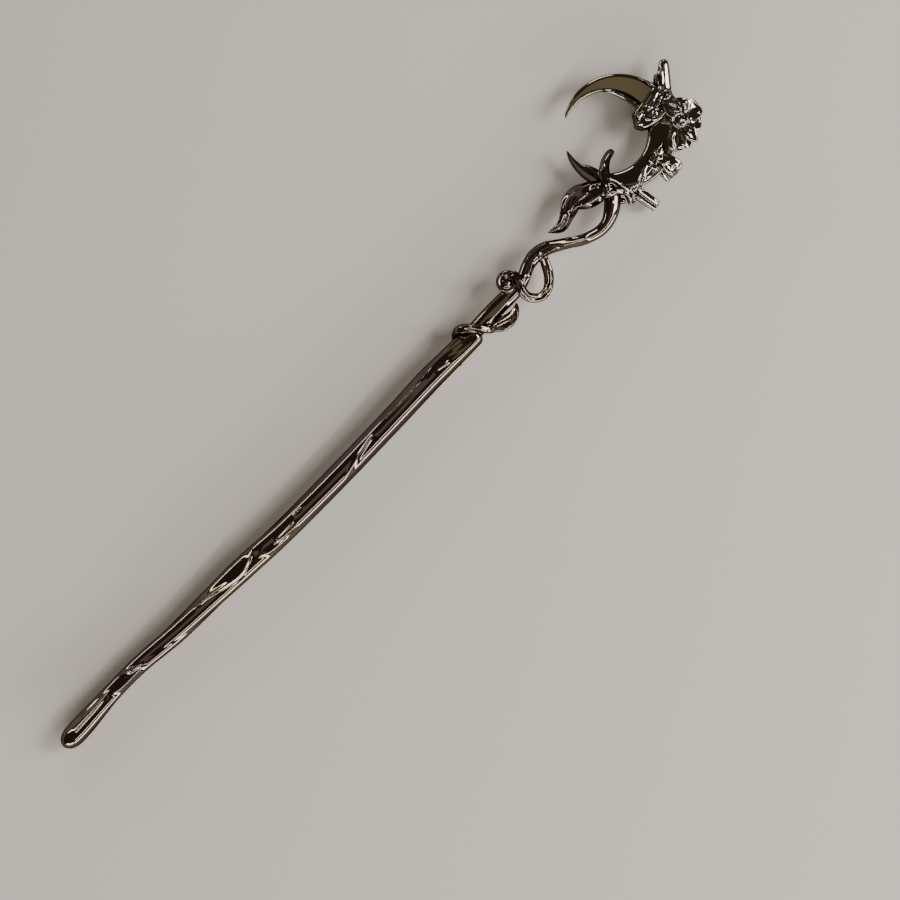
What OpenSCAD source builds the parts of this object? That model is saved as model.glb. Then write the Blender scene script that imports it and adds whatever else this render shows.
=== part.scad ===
// Hair stick, one metal casting: a twisted shaft, a bound neck with a looped tendril, an S-shaped
// stem, and a crescent wound with vines, leaves and a blossom.
// Millimetres. It lies on its back: +X runs from the point to the head, +Y to the side that the
// crescent's horns rise to, and +Z up from the surface it rests on. The origin is the middle of
// its length and breadth, on that surface.

/* [Shaft] */
// Length of the twisted shaft, from the point to the end of its strands
shaft_len = 113; // [95:1:130]
// Greatest width of the shaft, seen from the front
shaft_w = 4.9; // [4:0.1:6]
// Greatest depth of the shaft, front to back
shaft_d = 4.7; // [4:0.1:6]
// Full turns that a strand makes over the shaft's length
shaft_turns = 0.72; // [0.4:0.02:1.2]

/* [Binding] */
// Width of the tendril that binds the shaft's upper end
bind_w = 1.6; // [1.2:0.1:2.2]
// Length of the curled leaf that the binding runs out into
curl_len = 7; // [5:0.5:9]
// Greatest width of that curled leaf
curl_w = 2.3; // [1.6:0.1:3]

/* [Neck and loop] */
// Length of the plain neck, from the strands' end to the start of the stem
neck_len = 12; // [10:0.5:15]
// Width of the neck
neck_w = 3.4; // [2.8:0.1:4.2]
// Depth of the neck, front to back
neck_d = 3.2; // [2.6:0.1:4]
// Outer diameter of the knot, the tendril's coiled end
knot_d = 4.8; // [4:0.1:6]
// Thickness of the tendril in the knot and the loop
loop_wire = 1.6; // [1.3:0.1:2]
// Length of the teardrop loop along the stem
loop_len = 7.6; // [6.5:0.1:9]
// Drop of the loop below the stem
loop_drop = 6.2; // [5:0.1:7.5]

/* [Stem] */
// Length of the stem, from the neck to the crescent
stem_len = 26; // [22:0.5:30]
// Sideways sway of the stem, from its crest to its trough
stem_sway = 5.5; // [4:0.1:7]
// Width of the stem
stem_w = 2.6; // [2.2:0.1:3.2]

/* [Crescent] */
// Outer radius of the crescent
moon_r = 11.2; // [10:0.1:13]
// Radius of the crescent's hollow
bite_r = 7.85; // [7:0.05:8.4]
// Greatest thickness of the crescent
moon_t = 2.6; // [2:0.1:3.4]
// Height of the crescent's middle plane above the surface
moon_up = 3.4; // [3:0.1:4]

/* [Vines and leaves] */
// Width of the vines on the crescent
vine_w = 1.7; // [1.3:0.1:2.1]
// Length of the hanging leaf
leaf_len = 13; // [11:0.5:15]
// Greatest width of the hanging leaf
leaf_w = 4; // [3:0.1:5]
// Thickness of the leaves
leaf_t = 1.5; // [1.1:0.1:2]
// Length of the strip leaf and the bud on the crescent's outer edge
strip_len = 6.8; // [5:0.1:7.5]
// Width of the strip leaf
strip_w = 2.7; // [2.2:0.1:3.2]
// Length of the spike leaf at the head's end
spike_len = 6.6; // [5.5:0.1:8.5]
// Width of the spike leaf
spike_w = 2.6; // [2:0.1:3.2]

/* [Blossom] */
// Length of the blossom's petals from its centre
petal_len = 5.3; // [4.5:0.1:6.2]
// Width of the blossom's petals
petal_w = 3.4; // [2.6:0.1:4]
// Thickness of the petals
petal_t = 1.1; // [0.9:0.1:1.5]
// Height of the blossom's centre above the crescent's middle plane
bloom_up = 2; // [1.4:0.1:2.6]

/* [Hidden] */
metal = [0.13, 0.12, 0.125];

shaft_rise = 0.35 * bind_w;
neck_x = shaft_len;
stem_x = neck_x + neck_len;
head_x = stem_x + stem_len;
moon_at = [head_x + 0.7 * moon_r, 0.58 * moon_r, moon_up];
spike_root = moon_at + [1.01 * moon_r, -0.12 * moon_r, 0.2 * moon_t];
spike_turn = 44;
strip_at = [-0.5, -0.78];
strip_turn = -86;
foot_low = moon_at[1] + strip_at[1] * moon_r + strip_len * sin(strip_turn);
head_end = spike_root[0] + spike_len * cos(spike_turn);
middle = [head_end / 2, (moon_at[1] + moon_r + foot_low) / 2, 0];

// Columns of the shaft's spine: place along (share of shaft_len), place across and girth (shares
// of shaft_w), and how far the strands have turned (share of shaft_turns)
SPINE = [
    [0.00, 0.00, 0.90, 0.00],
    [0.05, 0.01, 0.91, 0.04],
    [0.12, 0.09, 0.76, 0.10],
    [0.19, 0.10, 0.74, 0.20],
    [0.27, -0.04, 0.83, 0.38],
    [0.35, -0.10, 0.88, 0.54],
    [0.44, -0.15, 0.97, 0.70],
    [0.53, -0.25, 0.96, 0.82],
    [0.66, -0.27, 0.98, 0.88],
    [0.80, -0.22, 0.98, 0.86],
    [0.88, -0.17, 1.00, 0.92],
    [0.95, -0.19, 0.95, 0.97],
    [1.00, -0.19, 0.92, 1.00]
];
strands = 3;
strand_off = 0.36;
strand_start = -30;
point_round = 0.05;

// Columns of a split strand laid over the shaft: place along (share of shaft_len), place across
// from the spine (share of shaft_w), height (share of shaft_d), width and depth (shares of shaft_w)
SPLIT_LOW = [
    [0.46, -0.06, 0.38, 0.08, 0.16],
    [0.51, -0.08, 0.41, 0.24, 0.20],
    [0.56, -0.11, 0.41, 0.27, 0.20],
    [0.61, -0.18, 0.38, 0.24, 0.20],
    [0.66, -0.21, 0.37, 0.20, 0.18],
    [0.71, -0.18, 0.36, 0.08, 0.14]
];
SPLIT_LENS = [
    [0.67, -0.16, 0.36, 0.08, 0.16],
    [0.72, 0.01, 0.40, 0.22, 0.20],
    [0.78, 0.09, 0.39, 0.34, 0.22],
    [0.84, 0.06, 0.41, 0.38, 0.20],
    [0.90, -0.02, 0.40, 0.36, 0.20],
    [0.95, -0.15, 0.34, 0.10, 0.16]
];
SPLIT_HIGH = [
    [0.87, 0.29, 0.28, 0.10, 0.16],
    [0.91, 0.18, 0.34, 0.34, 0.24],
    [0.95, 0.06, 0.36, 0.48, 0.26],
    [0.98, -0.03, 0.36, 0.50, 0.28],
    [1.01, -0.06, 0.30, 0.36, 0.24]
];
SPLIT_EDGE = [
    [0.78, -0.22, 0.14, 0.12, 0.30],
    [0.86, -0.28, 0.10, 0.30, 0.46],
    [0.93, -0.31, 0.08, 0.36, 0.50],
    [0.97, -0.36, 0.06, 0.40, 0.50],
    [1.01, -0.34, 0.04, 0.24, 0.34]
];

// Columns of the neck: place along (share of neck_len), across (share of neck_w), height above the
// surface (share of moon_up), width (share of neck_w), depth (share of neck_d)
NECK = [
    [-0.60, -0.22, 0.72, 0.80, 0.80],
    [-0.20, -0.18, 0.78, 0.94, 0.94],
    [0.15, -0.12, 0.84, 0.98, 0.98],
    [0.50, -0.12, 0.88, 1.00, 1.00],
    [0.85, -0.13, 0.92, 0.96, 1.00],
    [1.05, -0.05, 0.95, 0.80, 0.88],
    [1.20, 0.10, 0.97, 0.60, 0.70],
    [1.35, 0.28, 0.99, 0.30, 0.40]
];

// Columns of the stem: place along (share of stem_len), across (share of stem_sway), height above
// the surface (share of moon_up), width and depth (shares of stem_w)
STEM = [
    [-0.07, -0.08, 0.95, 1.05, 1.05],
    [0.04, 0.00, 0.97, 1.02, 1.00],
    [0.13, 0.18, 1.00, 1.00, 0.96],
    [0.22, 0.25, 1.04, 1.10, 0.96],
    [0.31, 0.16, 1.06, 1.06, 0.94],
    [0.38, -0.03, 1.06, 0.92, 0.92],
    [0.46, -0.27, 1.04, 0.84, 0.90],
    [0.54, -0.52, 1.02, 0.84, 0.90],
    [0.62, -0.68, 1.00, 0.86, 0.92],
    [0.69, -0.76, 0.98, 0.88, 0.94],
    [0.77, -0.73, 0.96, 0.96, 0.98],
    [0.85, -0.55, 0.94, 1.18, 1.04],
    [0.92, -0.29, 0.92, 1.22, 1.08],
    [1.00, 0.02, 0.92, 1.00, 1.00]
];

// Columns of the binding: place along (share of neck_len), across (share of shaft_w), height
// above the shaft's underside (share of shaft_d), width and depth (shares of bind_w)
BINDING = [
    [-0.62, -0.60, 0.30, 0.70, 0.60],
    [-0.50, -0.30, 0.12, 0.90, 0.66],
    [-0.39, 0.06, 0.13, 1.04, 0.74],
    [-0.29, 0.33, 0.38, 1.30, 0.90],
    [-0.21, 0.34, 0.76, 1.36, 1.00],
    [-0.10, 0.14, 1.00, 1.14, 0.84],
    [0.01, -0.14, 1.02, 1.06, 0.78],
    [0.09, -0.40, 0.86, 1.04, 0.80],
    [0.16, -0.56, 0.62, 1.00, 0.84]
];

// Columns of the curled leaf: place along (share of curl_len), across (share of curl_w), height
// (share of moon_up), width (share of curl_w), depth (share of leaf_t)
CURL = [
    [-0.06, 0.10, 0.80, 0.40, 0.80],
    [0.10, 0.02, 0.90, 0.74, 0.96],
    [0.28, -0.16, 0.98, 0.96, 1.00],
    [0.46, -0.32, 1.04, 1.02, 1.00],
    [0.64, -0.40, 1.08, 0.94, 0.96],
    [0.81, -0.28, 1.10, 0.68, 0.80],
    [0.92, -0.06, 1.08, 0.40, 0.60],
    [1.00, 0.16, 1.04, 0.08, 0.30]
];

// Columns of the loop, from the knot round to the stem: place along (share of loop_len), place
// down from the neck's centre line (share of loop_drop), height (share of moon_up)
LOOP = [
    [0.13, 0.32, 1.46],
    [0.10, 0.10, 1.54],
    [0.00, -0.14, 1.52],
    [-0.04, -0.40, 1.34],
    [0.06, -0.62, 1.12],
    [0.25, -0.76, 0.98],
    [0.46, -0.74, 0.94],
    [0.65, -0.58, 0.94],
    [0.80, -0.36, 0.96],
    [0.91, -0.12, 0.98],
    [1.00, 0.12, 1.00]
];
coil_turns = 1.3;
coil_core = 0.18;
coil_up = 0.27;

// Columns of a vine on the crescent: place along, across (shares of moon_r from its centre),
// height (share of moon_t from its middle plane), width and depth (shares of vine_w)
VINE_UP = [
    [-0.86, -0.66, 0.10, 0.80, 0.90],
    [-0.77, -0.47, 0.62, 1.16, 1.00],
    [-0.68, -0.31, 0.66, 1.10, 0.96],
    [-0.55, -0.20, 0.40, 0.90, 0.84],
    [-0.42, -0.16, 0.20, 0.76, 0.76],
    [-0.29, -0.14, 0.08, 0.58, 0.60]
];
VINE_DOWN = [
    [-0.80, -0.26, 0.40, 0.70, 0.70],
    [-0.73, -0.42, 0.74, 0.86, 0.84],
    [-0.67, -0.60, 0.76, 0.92, 0.90],
    [-0.65, -0.78, 0.50, 0.88, 0.90],
    [-0.67, -0.94, 0.16, 0.90, 0.84],
    [-0.70, -1.04, 0.00, 0.60, 0.60]
];
VINE_ROOT = [
    [-1.04, -0.52, 0.10, 0.70, 0.80],
    [-0.95, -0.60, 0.44, 1.10, 1.00],
    [-0.83, -0.62, 0.62, 1.30, 1.10],
    [-0.73, -0.68, 0.50, 1.20, 1.10],
    [-0.62, -0.78, 0.30, 1.10, 1.10],
    [-0.48, -0.84, 0.20, 0.90, 1.00],
    [-0.28, -0.88, 0.16, 0.80, 0.80],
    [-0.06, -0.84, 0.20, 0.70, 0.70]
];
VINE_BACK = [
    [-0.62, -0.26, -0.30, 0.60, 0.70],
    [-0.76, -0.40, -0.66, 1.00, 0.90],
    [-0.86, -0.60, -0.60, 1.10, 0.90],
    [-0.84, -0.80, -0.20, 0.90, 0.90],
    [-0.76, -0.90, 0.10, 0.60, 0.70]
];
HORN_LEAF = [
    [-0.78, -0.40, 0.20, 0.90, 0.90],
    [-0.78, -0.26, 0.24, 1.06, 0.94],
    [-0.80, -0.12, 0.22, 0.90, 0.80],
    [-0.84, 0.00, 0.14, 0.62, 0.60],
    [-0.88, 0.10, 0.06, 0.14, 0.26]
];
INNER_TENDRIL = [
    [0.56, -0.10, 0.44, 0.90, 0.90],
    [0.53, 0.08, 0.36, 0.76, 0.80],
    [0.51, 0.24, 0.26, 0.64, 0.74],
    [0.46, 0.42, 0.20, 0.54, 0.64],
    [0.39, 0.57, 0.14, 0.40, 0.50],
    [0.30, 0.68, 0.10, 0.16, 0.24]
];

// Columns of a ribbon wrapped round the crescent's body: share of the way from its inner to its
// outer edge, angle ahead of the ribbon's own, height (share of moon_t), width and depth (shares
// of vine_w)
RIBBON = [
    [1.06, 6, 0.10, 0.70, 0.80],
    [0.84, 5, 0.66, 1.00, 0.84],
    [0.46, 2, 0.80, 1.20, 0.90],
    [0.06, -1, 0.74, 1.30, 1.04],
    [-0.22, -3, 0.34, 1.30, 1.16],
    [-0.25, -4, -0.26, 1.20, 1.10],
    [0.04, -4, -0.80, 1.10, 1.00],
    [0.46, -2, -1.00, 1.00, 0.90],
    [0.84, 2, -0.76, 0.90, 0.80],
    [1.08, 5, -0.16, 0.60, 0.70]
];
// Columns of the ribbons: angle round the crescent, size, slant from the inner to the outer edge
RIBBONS = [
    [2, 1.00, 0],
    [-11, 1.10, 6],
    [-25, 1.06, 2]
];
scroll_r = 0.75;
scroll_turns = 1.2;
scroll_q = -14;

// Columns of the hanging leaf and its fold: place back from its root (share of leaf_len), across
// (share of leaf_w), height (share of leaf_t), width (share of leaf_w), depth (share of leaf_t), roll
HANGING_LEAF = [
    [-0.06, 0.02, 0.30, 0.34, 0.90, 0],
    [0.06, 0.22, 0.50, 0.50, 1.00, 12],
    [0.17, 0.36, 0.54, 0.68, 1.04, 22],
    [0.29, 0.46, 0.40, 0.90, 1.04, 24],
    [0.42, 0.38, 0.20, 0.98, 1.00, 10],
    [0.54, 0.20, 0.06, 0.90, 1.00, -10],
    [0.66, 0.03, 0.00, 0.74, 0.96, -26],
    [0.77, -0.10, 0.06, 0.64, 0.90, -22],
    [0.88, -0.04, 0.10, 0.42, 0.70, -6],
    [1.00, 0.16, 0.10, 0.04, 0.24, 0]
];
LEAF_FOLD = [
    [-0.08, -0.48, 0.30, 0.40, 0.90, 0],
    [0.08, -0.44, 0.50, 0.52, 1.00, -14],
    [0.22, -0.34, 0.54, 0.56, 1.00, -20],
    [0.34, -0.14, 0.50, 0.44, 0.90, -10],
    [0.44, 0.00, 0.44, 0.28, 0.70, 0],
    [0.56, 0.06, 0.40, 0.06, 0.30, 0]
];
leaf_root = moon_at + [-0.92 * moon_r, -0.39 * moon_r, 0];

// Columns of a leaf's outline: share of the width at equal steps from its root to its tip
POINTED = [[0.46], [0.72], [0.96], [1.00], [0.78], [0.42], [0.10]];
SQUARE = [[0.86], [0.98], [1.00], [0.98], [0.94], [0.90], [0.88]];
PETAL = [[0.30], [0.56], [0.84], [1.00], [1.00], [0.84], [0.46]];
BLUNT = [[0.96], [1.00], [0.92], [0.84], [0.76], [0.66], [0.50]];
BELL = [[0.50], [0.66], [0.78], [0.90], [1.00], [0.98], [0.78]];

// Columns of the leaves along the crescent's outer edge: root along and across (shares of moon_r
// from its centre), height (share of moon_t), turn, length (share of strip_len), width (share of
// strip_w), thickness (share of leaf_t), bend, pitch, curl to the tip, crease, cup of the edges
SIDE_LEAVES = [
    [strip_at[0], strip_at[1], 0.00, strip_turn, 1.00, 1.00, 1.0, 0, -8, -30, -0.4, 0.0],
    [0.01, -0.70, 0.12, -91, 0.90, 0.60, 1.0, 0, 6, -14, -0.4, 0.0],
    [-0.40, -0.90, 0.25, -4, 0.62, 0.72, 1.0, 14, 4, -16, -0.4, 0.0],
    [0.04, -0.83, 0.30, 22, 0.68, 0.94, 1.0, 10, 4, -18, -0.4, 0.0],
    [0.15, -0.72, 0.10, -84, 0.84, 1.24, 1.3, 6, 10, -26, 0.5, 0.3]
];
SIDE_OUTLINES = [SQUARE, SQUARE, POINTED, POINTED, BELL];
// Columns of the buds there, and of the crossing's core: from along, across, height and to along,
// across, height (shares of moon_r and moon_t from the crescent's centre), the two radii (shares of
// strip_w)
BUDS = [
    [0.15, -0.72, 0.10, 0.15, -0.92, 0.10, 0.40, 0.50],
    [-0.36, -0.86, 0.14, -0.60, -0.86, 0.24, 0.28, 0.22],
    [-0.72, -0.98, 0.00, -0.62, -0.84, 0.00, 0.20, 0.30],
    [-0.85, -0.50, 0.02, -0.79, -0.61, 0.06, 0.32, 0.34]
];

// Columns of the petals: turn, share of petal_len, share of petal_w, pitch at the root, curl to
// the tip, cup of the edges
PETALS = [
    [-94, 1.04, 0.66, 12, -38, 0.15],
    [-123, 0.98, 0.90, 0, -24, 0.35],
    [-157, 0.90, 1.00, 8, -34, 0.35],
    [-50, 0.84, 1.10, 4, -30, 0.45],
    [-8, 0.92, 1.20, 20, -54, 0.50],
    [36, 0.84, 1.00, 6, -30, 0.35],
    [76, 0.98, 1.00, 18, -38, 0.30],
    [118, 0.92, 0.96, 4, -26, 0.30]
];
INNER_PETALS = [
    [-24, 0.46, 0.76, 26, 44, 0.50],
    [66, 0.42, 0.70, 34, 40, 0.50],
    [152, 0.46, 0.76, 26, 44, 0.50],
    [248, 0.44, 0.70, 34, 40, 0.50]
];
bloom_at = moon_at + [0.85 * moon_r, -0.59 * moon_r, bloom_up];
SEPAL_TURNS = [-120, -40, 40];
round_n = 7;

// A smooth blend through four neighbouring rows of a table
function blend(a, b, c, d, t) =
    0.5 * (2 * b + (c - a) * t + (2 * a - 5 * b + 4 * c - d) * t * t + (3 * b - a - 3 * c + d) * t * t * t);

// The row of a table at share u of its length
function row_at(rows, u) =
    let (last = len(rows) - 1, s = min(max(u, 0), 0.999999) * last, i = floor(s))
    blend(rows[max(i - 1, 0)], rows[i], rows[i + 1], rows[min(i + 2, last)], s - i);

// Where the rings of an end stand that is rounded over share b; an end of no share is cut flat
function dome(b) = b == 0 ? [] : [for (q = [0, 30, 60]) b * (1 - cos(q))];

// Shares from 0 to 1 for the rings of a limb: even steps between its two rounded ends
function shares(steps, ends) = concat(
    dome(ends[0]),
    [for (j = [0 : steps]) ends[0] + (1 - ends[0] - ends[1]) * j / steps],
    [for (q = ends[1] == 0 ? [] : [60, 30, 0]) 1 - ends[1] * (1 - cos(q))]
);

// A round end's share of the full size, at share u from the end that is rounded over share b
function rounding(u, b) = u >= b ? 1 : max(0.14, sqrt(1 - pow(1 - u / b, 2)));

function unit(v) = v / norm(v);

// One ring of a limb: sides points round p, across the heading t
function ring(p, t, up, row, crease, cup, sides) =
    let (
        s = unit(cross(up, t)), n = cross(t, s),
        a = s * cos(row[5]) + n * sin(row[5]), b = n * cos(row[5]) - s * sin(row[5])
    )
    [for (i = [0 : sides - 1])
        let (u = cos(360 * i / sides), v = sin(360 * i / sides))
        p + a * row[3] / 2 * u
          + b * (row[4] / 2 * (v - max(v, 0) * crease * pow(1 - abs(u), 2)) + cup * row[3] / 2 * u * u)];

// A closed skin over rings of equal count
module skin(rings) {
    m = len(rings);
    n = len(rings[0]);
    polyhedron(
        points = [for (r = rings) each r],
        faces = [
            [for (i = [0 : n - 1]) i],
            [for (i = [n - 1 : -1 : 0]) (m - 1) * n + i],
            for (j = [0 : m - 2], i = [0 : n - 1])
                let (k = (i + 1) % n, a = j * n, b = a + n)
                each [[a + i, b + i, b + k], [a + i, b + k, a + k]]
        ]
    );
}

// A limb swept along a table whose columns are x, y, z, width, depth and roll. A positive crease is
// a groove along its top and a negative one a ridge; cup lifts its edges.
module limb(rows, steps, sides = 8, up = [0, 0, 1], crease = 0, cup = 0, ends = [0, 0.08]) {
    us = shares(steps, ends);
    last = len(us) - 1;
    fine = [for (u = us) row_at(rows, u)];
    route = [for (r = fine) [r[0], r[1], r[2]]];
    skin([for (j = [0 : last])
        let (
            r = fine[j],
            k = rounding(us[j], ends[0]) * rounding(1 - us[j], ends[1]),
            t = unit(route[min(j + 1, last)] - route[max(j - 1, 0)]),
            sized = [r[0], r[1], r[2], max(r[3], 0.1) * k, max(r[4], 0.1) * k, r[5]]
        )
        ring(route[j], t, up, sized, crease, cup, sides)]);
}

// The points of a leaf's midrib: it starts at root, turns by bend and pitches by curl on the way
function midrib(root, turn, bend, pitch, curl, length, steps, j = 0) =
    j > steps ? [] :
    let (h = turn + bend * j / steps, q = pitch + curl * j / steps)
    concat(
        [root],
        midrib(root + length / steps * [cos(h) * cos(q), sin(h) * cos(q), sin(q)],
            turn, bend, pitch, curl, length, steps, j + 1)
    );

// A leaf from root, with its outline's widths taken from a table
module leaf(root, turn, length, width, thick, outline = POINTED, bend = 0, pitch = 0, curl = 0,
        crease = -0.5, cup = 0, steps = 5, sides = 8) {
    rib = midrib(root, turn, bend, pitch, curl, length, len(outline) - 1);
    limb(
        [for (j = [0 : len(outline) - 1])
            let (w = outline[j][0])
            [rib[j][0], rib[j][1], rib[j][2], width * w, thick * (0.5 + 0.5 * w), 0]],
        steps, sides, crease = crease, cup = cup, ends = [0, 0.12]
    );
}

// A rounded drop between two places
module drop(a, b, ra, rb) {
    hull() {
        translate(a) sphere(ra, $fn = round_n);
        translate(b) sphere(rb, $fn = round_n);
    }
}

// The points of a flat coil that opens to radius r and rises by rise, and ends on the +X side
function coil(at, r, turns, core, rise, steps) = [for (j = [0 : steps])
    let (u = j / steps, q = 360 * turns * (1 - u), reach = r * (core + (1 - core) * min(1, 1.25 * u)))
    at + [reach * cos(q), reach * sin(q), rise * u]];

// The shaft's spine at share s of its length: across, girth and turn
spine_fine = [for (j = [0 : 72]) row_at(SPINE, j / 72)];
function spine(s, column) = lookup(s, [for (r = spine_fine) [r[0], r[column]]]);

// A place on the shaft at share s of its length; across and high are shares of its girth
function on_shaft(s, across, high) = [
    shaft_len * s,
    shaft_w * (spine(s, 1) + spine(s, 2) * across),
    shaft_rise * s + shaft_d * spine(s, 2) * (0.5 + high)
];

module shaft() {
    rows = 26;
    for (k = [0 : strands - 1])
        limb(
            [for (j = [0 : rows])
                let (
                    s = j / rows,
                    off = strand_off * min(1, s / point_round + 0.3),
                    q = strand_start + 360 * (k / strands + shaft_turns * spine(s, 3)),
                    p = on_shaft(s, off * cos(q) / 2, off * sin(q) / 2),
                    girth = spine(s, 2) * (1 - off)
                )
                [p[0], p[1], p[2], shaft_w * girth, shaft_d * girth, 0]],
            steps = 20, sides = 9, ends = [0.02, 0.015]
        );
    splits = [SPLIT_LOW, SPLIT_LENS, SPLIT_HIGH, SPLIT_EDGE];
    for (rows = splits, face = rows == SPLIT_LOW || rows == SPLIT_LENS ? [1, -1] : [1])
        limb(
            [for (r = rows)
                let (p = on_shaft(r[0], face * r[1], face * r[2]))
                [p[0], p[1], p[2], shaft_w * r[3], shaft_w * r[4], 0]],
            steps = 7, ends = [0, 0]
        );
}

module neck() {
    limb(
        [for (r = NECK)
            [neck_x + neck_len * r[0], neck_w * r[1], moon_up * r[2], neck_w * r[3], neck_d * r[4], 0]],
        steps = 9, sides = 12, ends = [0, 0]
    );
}

module stem() {
    limb(
        [for (r = STEM)
            [stem_x + stem_len * r[0], stem_sway * r[1], moon_up * r[2], stem_w * r[3], stem_w * r[4], 0]],
        steps = 20, crease = -0.12, ends = [0, 0]
    );
}

module binding() {
    limb(
        [for (r = BINDING)
            [
                neck_x + neck_len * r[0],
                shaft_w * r[1],
                shaft_rise + shaft_d * r[2],
                bind_w * r[3],
                bind_w * r[4],
                90
            ]],
        steps = 14, up = [1, 0, 0.2], crease = -0.2, ends = [0, 0]
    );
    limb(
        [for (r = CURL)
            [
                neck_x + neck_len * 0.15 + curl_len * r[0],
                -0.56 * shaft_w + curl_w * r[1],
                moon_up * r[2],
                curl_w * r[3],
                leaf_t * r[4],
                0
            ]],
        steps = 8, crease = 0.5, cup = -0.1
    );
}

module loop_tendril() {
    coil_r = (knot_d - loop_wire) / 2;
    coil_at = [stem_x - 0.36 * knot_d, neck_w * 0.43, moon_up + coil_up * neck_d];
    knot = coil(coil_at, coil_r, coil_turns, coil_core, 0.24 * loop_wire, 14);
    way = concat(knot, [for (r = LOOP)
        [stem_x - 0.1 * loop_len + loop_len * r[0], loop_drop * r[1] - 0.1 * neck_w, moon_up * r[2]]]);
    limb(
        [for (p = way) [p[0], p[1], p[2], loop_wire, loop_wire, 0]],
        steps = 28, crease = 0.3, ends = [0.02, 0]
    );
    drop(coil_at - [0, 0, 0.45 * loop_wire], coil_at - [0.1, 0.1, 0] * knot_d, 0.75 * coil_r, 0.5 * coil_r);
}

// How far the crescent's inner edge lies from its centre, in the direction q
bite_off = (moon_r - bite_r) * 0.68;
function inner_edge(q) =
    let (s = bite_off * cos(q - 135)) s + sqrt(s * s - bite_off * bite_off + bite_r * bite_r);

// A place on the crescent: share of the way from its inner to its outer edge, direction, height
function on_moon(share, q, high) =
    let (reach = inner_edge(q) + share * (moon_r - inner_edge(q)))
    [moon_at[0] + reach * cos(q), moon_at[1] + reach * sin(q), moon_at[2] + moon_t * high];

module crescent() {
    rows = 28;
    first = 120;
    sweep = 326;
    thickest = moon_r - inner_edge(-45);
    limb(
        [for (j = [0 : rows])
            let (
                u = j / rows,
                q = first - sweep * u,
                taper = rounding(u, 0.1) * rounding(1 - u, 0.1),
                wide = (moon_r - inner_edge(q)) * taper,
                p = on_moon(0.5, q, 0)
            )
            [p[0], p[1], p[2], wide, moon_t * pow(wide / thickest, 0.6), 0]],
        steps = rows, sides = 10, crease = -0.08, ends = [0, 0]
    );
}

// A place counted from the crescent's centre, in shares of its radius and thickness
function by_moon(along, across, high) = moon_at + [moon_r * along, moon_r * across, moon_t * high];

// A vine whose table counts from the crescent's centre
module vine(rows, steps, crease = 0, ends = [0, 0.1]) {
    limb(
        [for (r = rows)
            let (p = by_moon(r[0], r[1], r[2]))
            [p[0], p[1], p[2], vine_w * r[3], vine_w * r[4], 0]],
        steps, crease = crease, ends = ends
    );
}

module crossing() {
    vine(VINE_UP, 7, -0.2);
    vine(VINE_DOWN, 7, 0.2);
    vine(VINE_ROOT, 9, -0.2);
    vine(VINE_BACK, 6);
    vine(HORN_LEAF, 7, -0.3, [0, 0]);
}

module hanging_leaf() {
    for (rows = [HANGING_LEAF, LEAF_FOLD])
        limb(
            [for (r = rows)
                [
                    leaf_root[0] - leaf_len * r[0],
                    leaf_root[1] + leaf_w * r[1],
                    leaf_root[2] + leaf_t * r[2],
                    leaf_w * r[3],
                    leaf_t * r[4],
                    r[5]
                ]],
            steps = rows == LEAF_FOLD ? 7 : 14, crease = -0.5, ends = [0, 0]
        );
}

module side_leaves() {
    for (k = [0 : len(SIDE_LEAVES) - 1]) {
        r = SIDE_LEAVES[k];
        leaf(by_moon(r[0], r[1], r[2]), r[3], strip_len * r[4], strip_w * r[5], leaf_t * r[6],
            SIDE_OUTLINES[k], bend = r[7], pitch = r[8], curl = r[9], crease = r[10], cup = r[11]);
    }
    for (r = BUDS)
        drop(by_moon(r[0], r[1], r[2]), by_moon(r[3], r[4], r[5]), strip_w * r[6], strip_w * r[7]);
}

module wrap() {
    for (w = RIBBONS)
        limb(
            [for (r = RIBBON)
                let (p = on_moon(r[0], w[0] + r[1] + w[2] * r[0], r[2]))
                [p[0], p[1], p[2], vine_w * r[3] * w[1], vine_w * r[4] * w[1], 90]],
            steps = 10, up = unit([sin(-w[0]), -cos(w[0]), 0.2]), crease = 0.3, ends = [0, 0]
        );
    scroll_at = on_moon(-0.1, scroll_q, 0.5);
    limb(
        [for (p = coil(scroll_at, scroll_r * vine_w, scroll_turns, coil_core, 0.2 * vine_w, 10))
            [p[0], p[1], p[2], 0.7 * vine_w, 0.8 * vine_w, 0]],
        steps = 10, crease = 0.2, ends = [0.04, 0]
    );
    drop(scroll_at, scroll_at - [0, 0, 0.3 * moon_t], 0.6 * vine_w, 0.6 * vine_w);
    vine(INNER_TENDRIL, 10, -0.2, [0, 0]);
}

module blossom() {
    for (p = PETALS)
        leaf(bloom_at, p[0], petal_len * p[1], petal_w * p[2], petal_t, PETAL,
            pitch = p[3], curl = p[4], crease = 0.4, cup = p[5], steps = 4);
    for (p = INNER_PETALS)
        leaf(bloom_at, p[0], petal_len * p[1], petal_w * p[2], petal_t, PETAL,
            pitch = p[3], curl = p[4], crease = 0.4, cup = p[5], steps = 4, sides = 6);
    for (turn = SEPAL_TURNS)
        leaf(bloom_at - [0, 0, bloom_up], turn, 0.8 * petal_len, 0.7 * petal_w, petal_t,
            pitch = -18, curl = 26, steps = 4, sides = 6);
    drop(bloom_at, bloom_at - [0, 0, bloom_up + 0.4 * moon_t], 0.5 * petal_w, 0.6 * petal_w);
    drop(bloom_at, bloom_at + [0, 0, 0.5 * bloom_up], 0.4 * petal_w, 0.24 * petal_w);
}

module spike_leaves() {
    leaf(spike_root, spike_turn, spike_len, spike_w, leaf_t, BLUNT, pitch = 4, curl = -8);
    leaf(spike_root + [0, 0.14 * moon_r, 0.1 * moon_t], spike_turn + 12, 0.46 * spike_len, 0.6 * spike_w,
        0.8 * leaf_t, BLUNT, steps = 4);
    drop(spike_root, bloom_at, 0.5 * spike_w, 0.44 * petal_w);
}

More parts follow.
